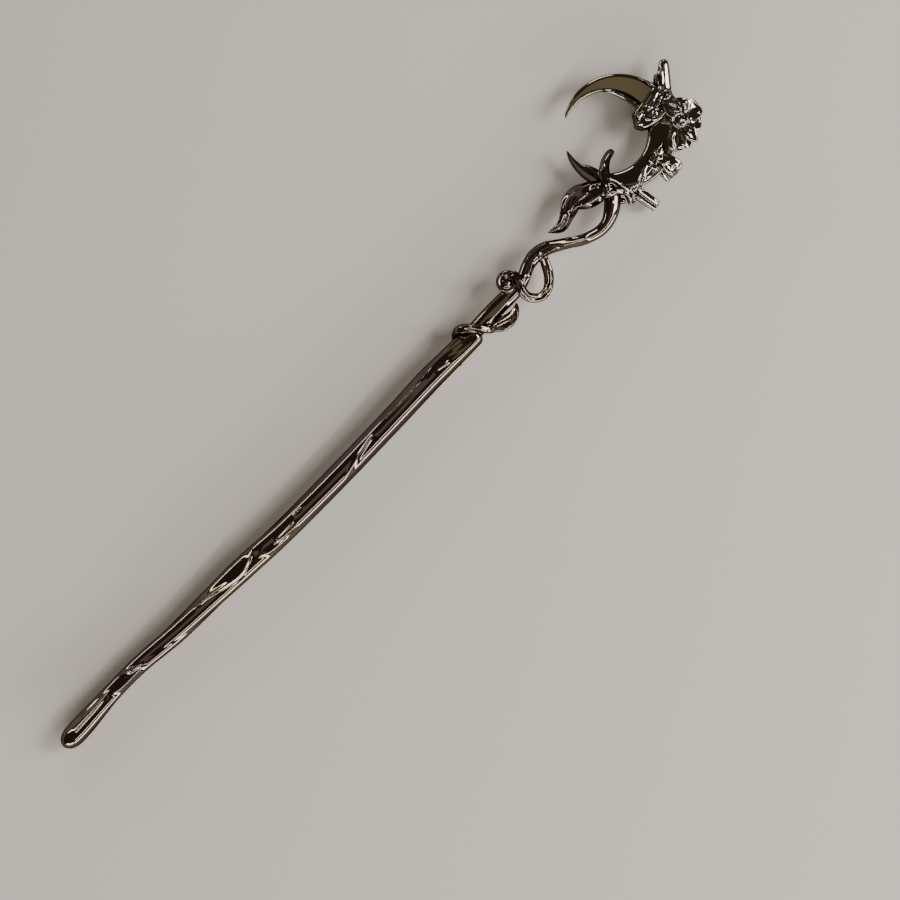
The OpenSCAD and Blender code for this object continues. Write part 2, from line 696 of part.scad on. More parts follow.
module hair_stick() {
    color(metal) translate(-middle) {
        shaft();
        neck();
        stem();
        binding();
        loop_tendril();
        crescent();
        crossing();
        hanging_leaf();
        side_leaves();
        wrap();
        blossom();
        spike_leaves();
    }
}

hair_stick();
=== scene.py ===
"""A cast metal hair stick on a pale floor: a twisted shaft, a looped neck, a vine-wound crescent.

Forms are laid out in millimetres in the piece's own frame: X from the point to the head, Y to the side
that the crescent's horns rise to, Z up. Limbs come from tables of shares, which the sizes scale. Crests
are laid over the finished skin, in millimetres. Each mesh is then carried into the row's frame in metres.
"""

import logging
import math
from collections.abc import Callable, Iterator, Sequence
from dataclasses import dataclass, field
from enum import Enum
from typing import ClassVar

import bmesh
import bpy
import numpy as np
from bmesh.types import BMesh, BMVert
from bpy.types import ID, Material, Mesh, Node, NodeSocket, NodeTree, Object
from mathutils import Matrix, Vector


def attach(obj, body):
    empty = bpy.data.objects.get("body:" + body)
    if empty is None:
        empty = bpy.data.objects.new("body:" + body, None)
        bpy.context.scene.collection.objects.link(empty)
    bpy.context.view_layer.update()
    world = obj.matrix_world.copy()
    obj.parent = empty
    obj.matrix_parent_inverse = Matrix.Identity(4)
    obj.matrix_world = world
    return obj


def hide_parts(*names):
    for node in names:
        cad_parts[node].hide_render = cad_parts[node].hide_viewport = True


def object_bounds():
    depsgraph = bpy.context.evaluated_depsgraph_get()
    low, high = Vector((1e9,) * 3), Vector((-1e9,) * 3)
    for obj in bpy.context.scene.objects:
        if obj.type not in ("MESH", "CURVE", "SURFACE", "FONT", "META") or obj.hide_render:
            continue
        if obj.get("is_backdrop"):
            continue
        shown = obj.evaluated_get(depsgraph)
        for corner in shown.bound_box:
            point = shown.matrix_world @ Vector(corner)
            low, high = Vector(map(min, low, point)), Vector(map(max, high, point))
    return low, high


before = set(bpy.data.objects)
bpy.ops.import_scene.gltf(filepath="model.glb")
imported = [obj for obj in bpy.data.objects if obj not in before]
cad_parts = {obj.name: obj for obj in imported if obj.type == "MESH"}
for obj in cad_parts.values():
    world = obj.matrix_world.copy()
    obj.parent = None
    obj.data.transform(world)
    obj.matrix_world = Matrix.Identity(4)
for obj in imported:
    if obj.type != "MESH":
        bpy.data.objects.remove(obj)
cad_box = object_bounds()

log = logging.getLogger("hair_stick")

Row = tuple[float, ...]
Table = Sequence[Row]
Pair = tuple[float, float]
Colour = tuple[float, float, float]
Smoother = Callable[[np.ndarray, int], np.ndarray]
Inputs = dict[str | int, float | Row | NodeSocket]

CAD_NODE = "hair_stick"
BODY = "root"

# A millimetre in metres, and the least width of a limb in millimetres
MM = 0.001
THINNEST = 0.1
# How far along a table a share may point, just short of its last row
NEARLY_ALL = 0.999999
# Rounded ends: the least girth, as a share, and the turn from ring to ring, in degrees
END_GIRTH = 0.06
END_STEP = 15
# Crests: steps between their places, how blunt they are and over how far their ends fade (shares of
# the reach), the least that is left of an end, how soon they rise on what turns up, and how high they
# are on the back
CREST_CUTS = 6
CREST_BLUNT = 0.18
CREST_FADE = 3
CREST_END = 0.05
FACING_GAIN = 2.2
BACK_SHARE = 0.35
# Relief: the height that counts as full, in millimetres, and passes of smoothing beneath and over it
RELIEF = 0.06
RELIEF_PASSES = 4
RELIEF_BLUR = 2


class Section(Enum):
    """Cross-sections that a limb can have: the power that squares the ellipse's shoulders."""

    ROUND = 2.0
    FLAT = 4.2
    BLADE = 1.7


class Outline(Enum):
    """Outlines of the leaves: share of the width at equal steps from the root to the tip."""

    POINTED = (0.46, 0.72, 0.96, 1.00, 0.78, 0.42, 0.08)
    SQUARE = (0.86, 0.98, 1.00, 0.98, 0.94, 0.90, 0.88)
    PETAL = (0.30, 0.56, 0.84, 1.00, 1.00, 0.84, 0.46)
    BLUNT = (0.96, 1.00, 0.92, 0.84, 0.76, 0.66, 0.50)
    BELL = (0.50, 0.66, 0.78, 0.90, 1.00, 0.98, 0.78)


@dataclass(frozen=True)
class Sizes:
    """The hair stick's driving sizes, in millimetres and, for the turns of two leaves, degrees."""

    shaft_len: float = 113.0
    shaft_w: float = 4.9
    shaft_d: float = 4.7
    shaft_turns: float = 0.72
    bind_w: float = 1.6
    curl_len: float = 7.0
    curl_w: float = 2.3
    neck_len: float = 12.0
    neck_w: float = 3.4
    neck_d: float = 3.2
    knot_d: float = 4.8
    loop_wire: float = 1.6
    loop_len: float = 7.6
    loop_drop: float = 6.2
    stem_len: float = 26.0
    stem_sway: float = 5.5
    stem_w: float = 2.6
    moon_r: float = 11.2
    bite_r: float = 7.85
    moon_t: float = 2.6
    moon_up: float = 3.4
    vine_w: float = 1.7
    leaf_len: float = 13.0
    leaf_w: float = 4.0
    leaf_t: float = 1.5
    strip_len: float = 6.8
    strip_w: float = 2.7
    strip_fall: float = 86.0
    spike_len: float = 6.6
    spike_w: float = 2.6
    spike_turn: float = 44.0
    petal_len: float = 5.3
    petal_w: float = 3.4
    petal_t: float = 1.1
    bloom_up: float = 2.0

    @property
    def bind_lift(self) -> float:
        """How far the shaft's upper end is raised, for the binding to pass under it."""
        return 0.35 * self.bind_w

    @property
    def stem_x(self) -> float:
        """Where the stem starts, along the length."""
        return self.shaft_len + self.neck_len

    @property
    def moon_at(self) -> Vector:
        """The centre of the crescent's outer edge."""
        head_x = self.stem_x + self.stem_len
        return Vector((head_x + 0.7 * self.moon_r, 0.58 * self.moon_r, self.moon_up))

    def by_moon(self, along: float, across: float, high: float) -> Vector:
        """Find a place, in shares of the crescent's radius and thickness from its centre."""
        return self.moon_at + Vector((self.moon_r * along, self.moon_r * across, self.moon_t * high))

    @property
    def spike_root(self) -> Vector:
        """Where the spike leaf grows from the crescent."""
        return self.by_moon(1.01, -0.12, 0.2)

    @property
    def bloom_at(self) -> Vector:
        """The blossom's centre."""
        return self.moon_at + Vector((0.85 * self.moon_r, -0.59 * self.moon_r, self.bloom_up))

    @property
    def middle(self) -> Vector:
        """The middle of the length and breadth, which is the row's origin.

        Returns:
            The point, at height zero.
        """
        foot_low = self.moon_at.y - 0.78 * self.moon_r - self.strip_len * turned(self.strip_fall)[1]
        head_end = self.spike_root.x + self.spike_len * turned(self.spike_turn)[0]
        return Vector((head_end / 2, (self.moon_at.y + self.moon_r + foot_low) / 2, 0.0))


SIZES = Sizes()


def turned(degrees: float) -> Pair:
    """Cosine and sine of an angle in degrees."""
    return math.cos(math.radians(degrees)), math.sin(math.radians(degrees))


def square_off(x: float, y: float, power: float) -> float:
    """How far a section with squared shoulders reaches, in the direction of a point on the unit circle."""
    return (abs(x) ** power + abs(y) ** power) ** (-1 / power)


def row_at(rows: np.ndarray, share: float) -> np.ndarray:
    """Blend smoothly between the rows of a table.

    Args:
        rows: The table, one row a station.
        share: Share of the table's length, from 0 to 1.

    Returns:
        The row at that share.
    """
    last = len(rows) - 1
    spot = min(max(share, 0.0), NEARLY_ALL) * last
    i = int(spot)
    t = spot - i
    a, b, c, d = rows[max(i - 1, 0)], rows[i], rows[i + 1], rows[min(i + 2, last)]
    cubic = (3 * b - a - 3 * c + d) * t**3
    return 0.5 * (2 * b + (c - a) * t + (2 * a - 5 * b + 4 * c - d) * t**2 + cubic)


def finely(table: Table, cuts: int) -> np.ndarray:
    """Lay a table out in finer steps.

    Args:
        table: The rows.
        cuts: Steps from each row to the next.

    Returns:
        The rows, with smooth ones between them.
    """
    rows = np.array(table, float)
    count = cuts * (len(rows) - 1)
    return np.array([row_at(rows, j / count) for j in range(count + 1)])


def scaled(table: Table, origin: Row, scale: Row, roll: float = 0.0) -> list[Row]:
    """Turn rows of shares into a limb's stations.

    Args:
        table: Shares along, across, in height, width and depth, and a roll where a row has its own.
        origin: The place that the first three count from, in millimetres.
        scale: What a share of 1 stands for in each column, in millimetres.
        roll: The roll of the rows without one, in degrees.

    Returns:
        Rows of x, y, z, width, depth and roll.
    """
    base = (*origin, 0.0, 0.0)
    return [
        (*(start + size * share for start, size, share in zip(base, scale, row)), *(row[5:] or (roll,)))
        for row in table
    ]


def ring_shares(steps: int, ends: Pair) -> list[float]:
    """Place the rings of a limb, closer together in its rounded ends.

    Args:
        steps: Rings along the limb between its ends.
        ends: Shares of the length over which the start and the tip are rounded.

    Returns:
        Shares of the length from 0 to 1, in order.
    """
    arcs = [math.radians(q) for q in range(0, 90, END_STEP)]
    start = [ends[0] * (1 - math.cos(q)) for q in arcs] if ends[0] else []
    tip = [1 - ends[1] * (1 - math.cos(q)) for q in reversed(arcs)] if ends[1] else []
    plain = [ends[0] + (1 - ends[0] - ends[1]) * j / steps for j in range(steps + 1)]
    return start + plain + tip


def rounding(share: float, over: float) -> float:
    """Share of the full girth at a share of the length from an end that is rounded over some length."""
    return 1.0 if share >= over else max(END_GIRTH, math.sqrt(1 - (1 - share / over) ** 2))


def join_into(part: BMesh, body: BMesh) -> None:
    """Add a part's faces to a body and free the part.

    Args:
        part: What is added.
        body: What it becomes part of.
    """
    carrier = bpy.data.meshes.new("carrier")
    part.to_mesh(carrier)
    part.free()
    body.from_mesh(carrier)
    bpy.data.meshes.remove(carrier)


def straight_column(sides: int, last: int) -> BMesh:
    """Stand up a straight column of rings, a millimetre apart, that a sweep then bends.

    Args:
        sides: Points round each ring.
        last: The last ring's number.

    Returns:
        The column, from half its length below the origin to half above.
    """
    column = bmesh.new()
    bmesh.ops.create_cone(
        column, cap_ends=True, cap_tris=False, segments=sides, radius1=1, radius2=1, depth=last
    )
    walls = [e for e in column.edges if abs(e.verts[0].co.z - e.verts[1].co.z) > 0.5]
    bmesh.ops.subdivide_edges(column, edges=walls, cuts=last - 1)
    return column


def put_in_scene(name: str, data: ID) -> Object:
    """Link a new object to the scene.

    Args:
        name: Its name.
        data: Its mesh, light or camera.

    Returns:
        The object.
    """
    made = bpy.data.objects.new(name, data)
    bpy.context.scene.collection.objects.link(made)
    return made


@dataclass
class Limb:
    """A closed form swept along a table of x, y, z, width, depth and roll.

    Attributes:
        rows: The stations, in millimetres and degrees.
        steps: Rings between the two ends.
        sides: Points round each ring.
        crease: Depth of the groove along its top, or height of the ridge if negative.
        cup: How far its edges are lifted, as a share of the width.
        ends: Shares of the length over which its two ends are rounded.
        up: The side that counts as its top.
        section: The form of its cross-section.
    """

    rows: Table
    steps: int
    sides: int = 24
    crease: float = 0.0
    cup: float = 0.0
    ends: Pair = (0.0, 0.08)
    up: Vector = field(default_factory=lambda: Vector((0, 0, 1)))
    section: Section = Section.ROUND

    def add_to(self, body: BMesh) -> None:
        """Sweep the limb into a body.

        Args:
            body: The mesh that it becomes part of.
        """
        rows = np.array(self.rows, float)
        shares = ring_shares(self.steps, self.ends)
        stations = [row_at(rows, share) for share in shares]
        last = len(stations) - 1
        seats = []
        for j, (share, station) in enumerate(zip(shares, stations)):
            ahead = stations[min(j + 1, last)][:3] - stations[max(j - 1, 0)][:3]
            girth = rounding(share, self.ends[0]) * rounding(1 - share, self.ends[1])
            seats.append(self._seat(station, Vector(ahead), girth))
        column = straight_column(self.sides, last)
        for vert in column.verts:
            reach = square_off(vert.co.x, vert.co.y, self.section.value)
            vert.co.x *= reach
            vert.co.y *= reach
            matrix, slope = seats[round(vert.co.z + last / 2)]
            vert.co = matrix @ Vector((vert.co.x, self._height(vert.co.x, vert.co.y, slope), 0))
        join_into(column, body)

    def _height(self, x: float, y: float, slope: float) -> float:
        """Lower the top by the crease and lift the edges by the cup."""
        return y - max(y, 0.0) * self.crease * (1 - abs(x)) ** 2 + slope * x * x

    def _seat(self, station: np.ndarray, ahead: Vector, girth: float) -> tuple[Matrix, float]:
        """Work out the place, heading and size of one ring.

        Args:
            station: The row of the table there.
            ahead: The heading of the limb.
            girth: Share of the full size that the rounded ends leave.

        Returns:
            The ring's matrix, and the lift of its edges in units of its half depth.
        """
        x, y, z, width, depth, roll = station
        width, depth = max(width, THINNEST) * girth, max(depth, THINNEST) * girth
        heading = ahead.normalized()
        across = self.up.cross(heading).normalized()
        rise = heading.cross(across)
        c, s = turned(roll)
        side, top = across * c + rise * s, rise * c - across * s
        matrix = Matrix.Translation((x, y, z)) @ Matrix((side, top, heading)).transposed().to_4x4()
        return matrix @ Matrix.Diagonal((width / 2, depth / 2, 1, 1)), self.cup * width / depth


@dataclass
class Drop:
    """A rounded drop between two places, each with its own radius."""

    start: Vector
    end: Vector
    start_r: float
    end_r: float

    def add_to(self, body: BMesh) -> None:
        """Wrap a hull round a ball at each place.

        Args:
            body: The mesh that it becomes part of.
        """
        balls = bmesh.new()
        for at, radius in ((self.start, self.start_r), (self.end, self.end_r)):
            place = Matrix.Translation(at)
            bmesh.ops.create_uvsphere(balls, u_segments=20, v_segments=12, radius=radius, matrix=place)
        hull = bmesh.ops.convex_hull(balls, input=balls.verts[:])
        inner = [part for part in hull["geom_interior"] if isinstance(part, BMVert)]
        bmesh.ops.delete(balls, geom=inner, context="VERTS")
        join_into(balls, body)


@dataclass
class Skin:
    """A closed skin over rings, each point placed from its share of the length and its direction."""

    rings: int
    sides: int
    seat: Callable[[float, float], Vector]

    def add_to(self, body: BMesh) -> None:
        """Bend a straight column into the skin.

        Args:
            body: The mesh that it becomes part of.
        """
        column = straight_column(self.sides, self.rings)
        for vert in column.verts:
            share = round(vert.co.z + self.rings / 2) / self.rings
            vert.co = self.seat(share, math.degrees(math.atan2(vert.co.y, vert.co.x)))
        join_into(column, body)


Form = Limb | Drop | Skin


@dataclass(frozen=True)
class Leaf:
    """A leaf that grows from a root and curls on its way to the tip.

    Attributes:
        root: Where it starts.
        turn: Its heading at the root, in degrees from the X axis.
        length: Its length along the midrib.
        width: Its greatest width.
        thick: Its greatest thickness.
        outline: The form of its edge.
        bend: How far its heading turns on the way.
        pitch: Its rise at the root, in degrees.
        curl: How far its rise changes on the way.
        crease: The groove or ridge along its midrib.
        cup: The lift of its edges.
    """

    root: Vector
    turn: float
    length: float
    width: float
    thick: float
    outline: Outline = Outline.POINTED
    bend: float = 0.0
    pitch: float = 0.0
    curl: float = 0.0
    crease: float = -0.5
    cup: float = 0.0

    def limb(self, steps: int, sides: int = 24) -> Limb:
        """Lay the leaf's stations along its midrib.

        Args:
            steps: Rings between its ends.
            sides: Points round each ring.

        Returns:
            The limb that makes the leaf.
        """
        last = len(self.outline.value) - 1
        at, rows = self.root.copy(), []
        for j, w in enumerate(self.outline.value):
            rows.append((at.x, at.y, at.z, self.width * w, self.thick * (0.5 + 0.5 * w), 0))
            along, across = turned(self.turn + self.bend * j / last)
            level, rise = turned(self.pitch + self.curl * j / last)
            at = at + Vector((along * level, across * level, rise)) * (self.length / last)
        section, tip = (Section.FLAT, 0.04) if self.outline is Outline.SQUARE else (Section.BLADE, 0.12)
        return Limb(rows, steps, sides, self.crease, self.cup, (0.0, tip), section=section)


def coil(at: Vector, radius: float, turns: float, core: float, rise: float, steps: int) -> list[Vector]:
    """Lay out a flat coil that opens outwards and ends on the +X side.

    Args:
        at: Its centre.
        radius: Its outer radius, which it reaches four fifths of the way along.
        turns: How many turns it makes.
        core: Share of the radius that its first turn starts at.
        rise: How far it climbs on the way.
        steps: Points along it.

    Returns:
        The points, from the core outwards.
    """
    points = []
    for j in range(steps + 1):
        u = j / steps
        c, s = turned(360 * turns * (1 - u))
        reach = radius * (core + (1 - core) * min(1.0, 1.25 * u))
        points.append(at + Vector((reach * c, reach * s, rise * u)))
    return points


@dataclass(frozen=True)
class Crest:
    """A sharp line raised over the top of a piece, or sunk into it.

    Attributes:
        height: How far it stands up, or how deep it lies if negative, in millimetres.
        reach: How far its right flank spreads.
        lean: How many times as far its left flank spreads.
        way: The places that it runs through, seen from above.
    """

    height: float
    reach: float
    lean: float
    way: tuple[Pair, ...]

    def lift(self, spots: np.ndarray) -> np.ndarray:
        """Work out how far it lifts some places.

        Args:
            spots: The places seen from above, one row each.

        Returns:
            The lift at each, in millimetres.
        """
        path, wide = finely(self.way, CREST_CUTS), self.reach * max(1.0, self.lean)
        near = np.flatnonzero(np.all((spots > path.min(0) - wide) & (spots < path.max(0) + wide), 1))
        spot = spots[near]
        gap, run, left = np.full(len(near), np.inf), np.zeros(len(near)), np.zeros(len(near), bool)
        gone = 0.0
        for a, b in zip(path, path[1:]):
            way, off = b - a, spot - a
            length = max(float(np.hypot(*way)), 1e-6)
            t = np.clip(off @ way / length**2, 0, 1)
            far = np.hypot(*(off - t[:, None] * way).T)
            closer = far < gap
            run = np.where(closer, gone + t * length, run)
            left = np.where(closer, way[0] * off[:, 1] > way[1] * off[:, 0], left)
            gap = np.minimum(gap, far)
            gone += length
        spread = self.reach * np.where(left, self.lean, 1.0)
        blunt = CREST_BLUNT * self.reach
        slope = np.clip(1 - (np.hypot(gap, blunt) - blunt) / spread, 0, 1) ** 2
        ends = np.clip(np.minimum(run, gone - run) / (CREST_FADE * self.reach) + CREST_END, 0, 1)
        raised = np.zeros(len(spots))
        raised[near] = self.height * ends * slope
        return raised


def crests(*rows: Row) -> tuple[Crest, ...]:
    """Read crests from rows of height, reach and lean, then X and Y of place after place."""
    return tuple(Crest(h, reach, lean, tuple(zip(way[::2], way[1::2]))) for h, reach, lean, *way in rows)


def read_surface(mesh: Mesh) -> tuple[np.ndarray, np.ndarray]:
    """Read a mesh's points and normals.

    Args:
        mesh: The mesh.

    Returns:
        One row a point in each.
    """
    both = np.empty((2, len(mesh.vertices) * 3))
    for values, name in zip(both, ("co", "normal")):
        mesh.vertices.foreach_get(name, values)
    return both[0].reshape(-1, 3), both[1].reshape(-1, 3)


def write_points(mesh: Mesh, points: np.ndarray) -> None:
    """Move a mesh's points."""
    mesh.vertices.foreach_set("co", points.ravel())
    mesh.update()


def smoother(mesh: Mesh) -> Smoother:
    """Make a function that evens out values over a mesh.

    Args:
        mesh: The mesh whose edges say which points are neighbours.

    Returns:
        The function, which takes a row of values a point and the passes to make.
    """
    count = len(mesh.vertices)
    edges = np.empty(len(mesh.edges) * 2, np.int32)
    mesh.edges.foreach_get("vertices", edges)
    a, b = edges.reshape(-1, 2).T
    links = np.maximum(np.bincount(np.concatenate((a, b)), minlength=count), 1)

    def smooth(values: np.ndarray, passes: int) -> np.ndarray:
        """Draw each value halfway to the average of its neighbours', pass by pass.

        Args:
            values: One row a point.
            passes: How often to do it.

        Returns:
            The evened rows.
        """
        for _ in range(passes):
            columns = [np.bincount(a, v[b], count) + np.bincount(b, v[a], count) for v in values.T]
            values = 0.5 * values + 0.5 * (np.stack(columns, axis=1) / links[:, None])
        return values

    return smooth


@dataclass
class Casting:
    """A sub-assembly of the casting.

    Attributes:
        name: The piece's name.
        sizes: The hair stick's sizes.
        grain: Size of the cells that fuse its limbs, in millimetres, or 0 to leave them as swept.
        polish: Passes of smoothing over the surface before its crests are raised.
        rub: Passes of smoothing after that.
    """

    name: str = "casting"
    sizes: Sizes = SIZES
    grain: float = 0.1
    polish: int = 2
    rub: int = 1

    CRESTS: ClassVar[tuple[Crest, ...]] = ()

    def forms(self) -> Iterator[Form]:
        """Yield the forms that the piece is made of."""
        raise NotImplementedError

    def build(self) -> Object:
        """Sweep the piece, fuse it, raise its crests and carry it into the row's frame.

        Returns:
            The finished object, at the origin, with its place in its mesh.
        """
        body = bmesh.new()
        for form in self.forms():
            form.add_to(body)
        for face in body.faces:
            face.smooth = True
        mesh = bpy.data.meshes.new(self.name)
        body.to_mesh(mesh)
        body.free()
        if self.grain:
            mesh = self._fuse(mesh)
        smooth = smoother(mesh)
        write_points(mesh, smooth(read_surface(mesh)[0], self.polish))
        self._raise_crests(mesh)
        write_points(mesh, smooth(read_surface(mesh)[0], self.rub))
        self._mark_relief(mesh, smooth)
        mesh.transform(Matrix.Scale(MM, 4) @ Matrix.Translation(-self.sizes.middle))
        log.info("%s: %d triangles", self.name, sum(len(p.vertices) - 2 for p in mesh.polygons))
        return put_in_scene(self.name, mesh)

    def _fuse(self, rough: Mesh) -> Mesh:
        """Fuse overlapping limbs into one skin.

        Args:
            rough: The limbs as they were swept, which is removed.

        Returns:
            The skin.
        """
        draft = put_in_scene("draft", rough)
        fuse = draft.modifiers.new("fuse", "REMESH")
        fuse.mode = "VOXEL"
        fuse.voxel_size = self.grain
        fuse.use_smooth_shade = True
        bpy.context.view_layer.update()
        shown = draft.evaluated_get(bpy.context.evaluated_depsgraph_get())
        mesh = bpy.data.meshes.new_from_object(shown)
        mesh.name = self.name
        bpy.data.objects.remove(draft)
        bpy.data.meshes.remove(rough)
        return mesh

    def _raise_crests(self, mesh: Mesh) -> None:
        """Raise the crests on what faces up, and lower ones, turned over, on what faces down.

        Args:
            mesh: The skin, in millimetres.
        """
        points, normals = read_surface(mesh)
        lowest = points[:, 2].min()
        for face, share in ((1, 1.0), (-1, BACK_SHARE)):
            facing = share * np.clip(FACING_GAIN * face * normals[:, 2], 0, 1)
            spots = points[:, :2].copy()
            if face < 0:
                spots[:, 1] = self.turned_over(spots)
            up, down = np.zeros(len(points)), np.zeros(len(points))
            for crest in self.CRESTS:
                lift = crest.lift(spots)
                up, down = np.maximum(up, lift), np.minimum(down, lift)
            points[:, 2] += face * facing * (up + down)
        points[:, 2] = np.maximum(points[:, 2], lowest)
        write_points(mesh, points)

    def turned_over(self, spots: np.ndarray) -> np.ndarray:
        """Say which place across on the front each place on the back copies."""
        return spots[:, 1]

    def _mark_relief(self, mesh: Mesh, smooth: Smoother) -> None:
        """Store how proud or sunk the surface is at each point: 0.5 is flat, more is a ridge.

        Args:
            mesh: The skin, in millimetres.
            smooth: What evens out values over it.
        """
        points, normals = read_surface(mesh)
        proud = np.sum((points - smooth(points, RELIEF_PASSES)) * normals, axis=1, keepdims=True)
        relief = np.clip(0.5 + smooth(proud, RELIEF_BLUR)[:, 0] / RELIEF, 0, 1)
        mesh.attributes.new("relief", "FLOAT", "POINT").data.foreach_set("value", relief.astype(np.float32))

    def dress(self, piece: Object, finish: Material) -> None:
        """Give the piece its finish and its body, and hide the imported CAD model.

        Args:
            piece: The finished object.
            finish: Its material.
        """
        piece.data.materials.append(finish)
        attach(piece, BODY)
        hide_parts(CAD_NODE)


@dataclass
class Shaft(Casting):
    """Three twisted strands in one skin, with the edges of the strands that lie over it.

    Attributes:
        strands: How many strands there are.
        strand_off: How far each lies from the spine, as a share of the girth.
        strand_start: The first one's direction at the point, in degrees.
        point_round: Share of the length over which the point is rounded.
        end_round: Share of the length over which the upper end is rounded.
        rings: Rings along it.
        sides: Points round each ring.
        front_sides: Share of the points that lie on the front.
    """

    name: str = "shaft"
    grain: float = 0.0
    polish: int = 7
    rub: int = 2
    strands: int = 3
    strand_off: float = 0.17
    strand_start: float = -30.0
    point_round: float = 0.03
    end_round: float = 0.012
    rings: int = 700
    sides: int = 140
    front_sides: float = 0.66

    # Place along (share of the length), place across and girth (shares of the width), and how far
    # the strands have turned (share of all turns)
    SPINE = (
        (0, 0, 0.9, 0), (0.05, 0.01, 0.91, 0.04), (0.12, 0.09, 0.76, 0.1), (0.19, 0.1, 0.74, 0.2),
        (0.27, -0.04, 0.83, 0.38), (0.35, -0.1, 0.88, 0.54), (0.44, -0.15, 0.97, 0.73),
        (0.53, -0.25, 0.96, 0.88), (0.66, -0.27, 0.98, 0.95), (0.8, -0.22, 0.98, 0.94),
        (0.88, -0.17, 1, 0.97), (0.95, -0.19, 0.95, 0.99), (1, -0.19, 0.92, 1),
    )
    CRESTS = crests(
        (0.3, 0.6, 1.6, 2.6, 0.3, 7.3, 0.5, 10.8, 0.7, 14.2, 1.15),
        (0.3, 0.6, 1.6, 12.8, 1, 15.2, 0, 18, -0.2, 22.6, -0.1),
        (0.8, 0.9, 0.5, 17.2, 1.8, 20, 0.85, 22.8, -0.1),
        (0.4, 0.6, 1.8, 36.5, 0.4, 39.7, 0.25, 43.5, -0.5, 46.6, -1.1),
        (0.34, 0.6, 1.8, 43.5, -0.5, 46.6, -1.1, 48.6, -1.06, 50.8, -0.3, 53, 0.3),
        (0.24, 0.55, 1.4, 54.4, -0.7, 53.1, -1.35, 55, -2.3, 60, -2.85),
        (0.26, 0.5, 1.2, 56.2, -1.5, 59.1, -1.2, 62.7, -1.2),
        (0.26, 0.55, 0.8, 56.2, -1.5, 58.8, -2, 62, -2.3), (0.26, 0.5, 0.6, 62.4, -0.45, 65.6, -0.75),
        (0.28, 0.65, 0.8, 75, -2.5, 77.6, -1.9, 80, -1.25, 85.4, -0.6),
        (0.16, 0.45, 1, 87, 0.05, 94, 0, 99.5, -0.1),
        (0.24, 0.5, 1.2, 100.6, -0.4, 103.3, -0.8, 105.4, -1.3),
        (0.14, 0.45, 1, 100.6, 0.5, 104, 0.6, 107, 0.2, 109.5, -0.3, 113, -0.5),
        (-0.2, 1, 1, 101.5, 0.1, 104.5, -0.3, 108, -1.2, 112.6, -1.6),
    )

    def __post_init__(self) -> None:
        """Lay the spine out once, finely."""
        self._spine = finely(self.SPINE, 12)

    def spine(self, share: float, column: int) -> float:
        """Look up a column of the spine at a share of the shaft's length."""
        return float(np.interp(share, self._spine[:, 0], self._spine[:, column]))

    def lobe(self, degrees: float, share: float) -> float:
        """Work out how far the skin reaches in a direction.

        Args:
            degrees: The direction about the spine.
            share: Share of the shaft's length.

        Returns:
            The reach, as a share of the full girth.
        """
        each = 360 / self.strands
        turn = degrees - self.strand_start - 360 * self.sizes.shaft_turns * self.spine(share, 3)
        c, s = turned((turn + each / 2) % each - each / 2)
        off = self.strand_off * min(1.0, share / self.point_round + 0.2)
        return off * c + math.sqrt((1 - off) ** 2 - (off * s) ** 2)

    def forms(self) -> Iterator[Form]:
        """Yield the shaft's skin."""
        yield Skin(self.rings, self.sides, self.seat)

    def seat(self, share: float, degrees: float) -> Vector:
        """Find a place on the skin.

        Args:
            share: Share of the shaft's length.
            degrees: Direction about the spine, before the points are drawn together on the front.

        Returns:
            The place, in millimetres.
        """
        size, turn = self.sizes, degrees % 360 / 360
        if turn < self.front_sides:
            degrees = 180 * turn / self.front_sides
        else:
            degrees = 180 + 180 * (turn - self.front_sides) / (1 - self.front_sides)
        c, s = turned(degrees)
        reach = self.lobe(degrees, share)
        reach *= rounding(share, self.point_round) * rounding(1 - share, self.end_round)
        girth = self.spine(share, 2)
        return Vector((
            size.shaft_len * share,
            size.shaft_w * (self.spine(share, 1) + girth * reach * c / 2),
            size.bind_lift * share + size.shaft_d * girth * (1 + reach * s) / 2,
        ))

    def turned_over(self, spots: np.ndarray) -> np.ndarray:
        """Copy the front onto the back, turned about the shaft's own line."""
        line = np.interp(spots[:, 0] / self.sizes.shaft_len, self._spine[:, 0], self._spine[:, 1])
        return 2 * self.sizes.shaft_w * line - spots[:, 1]


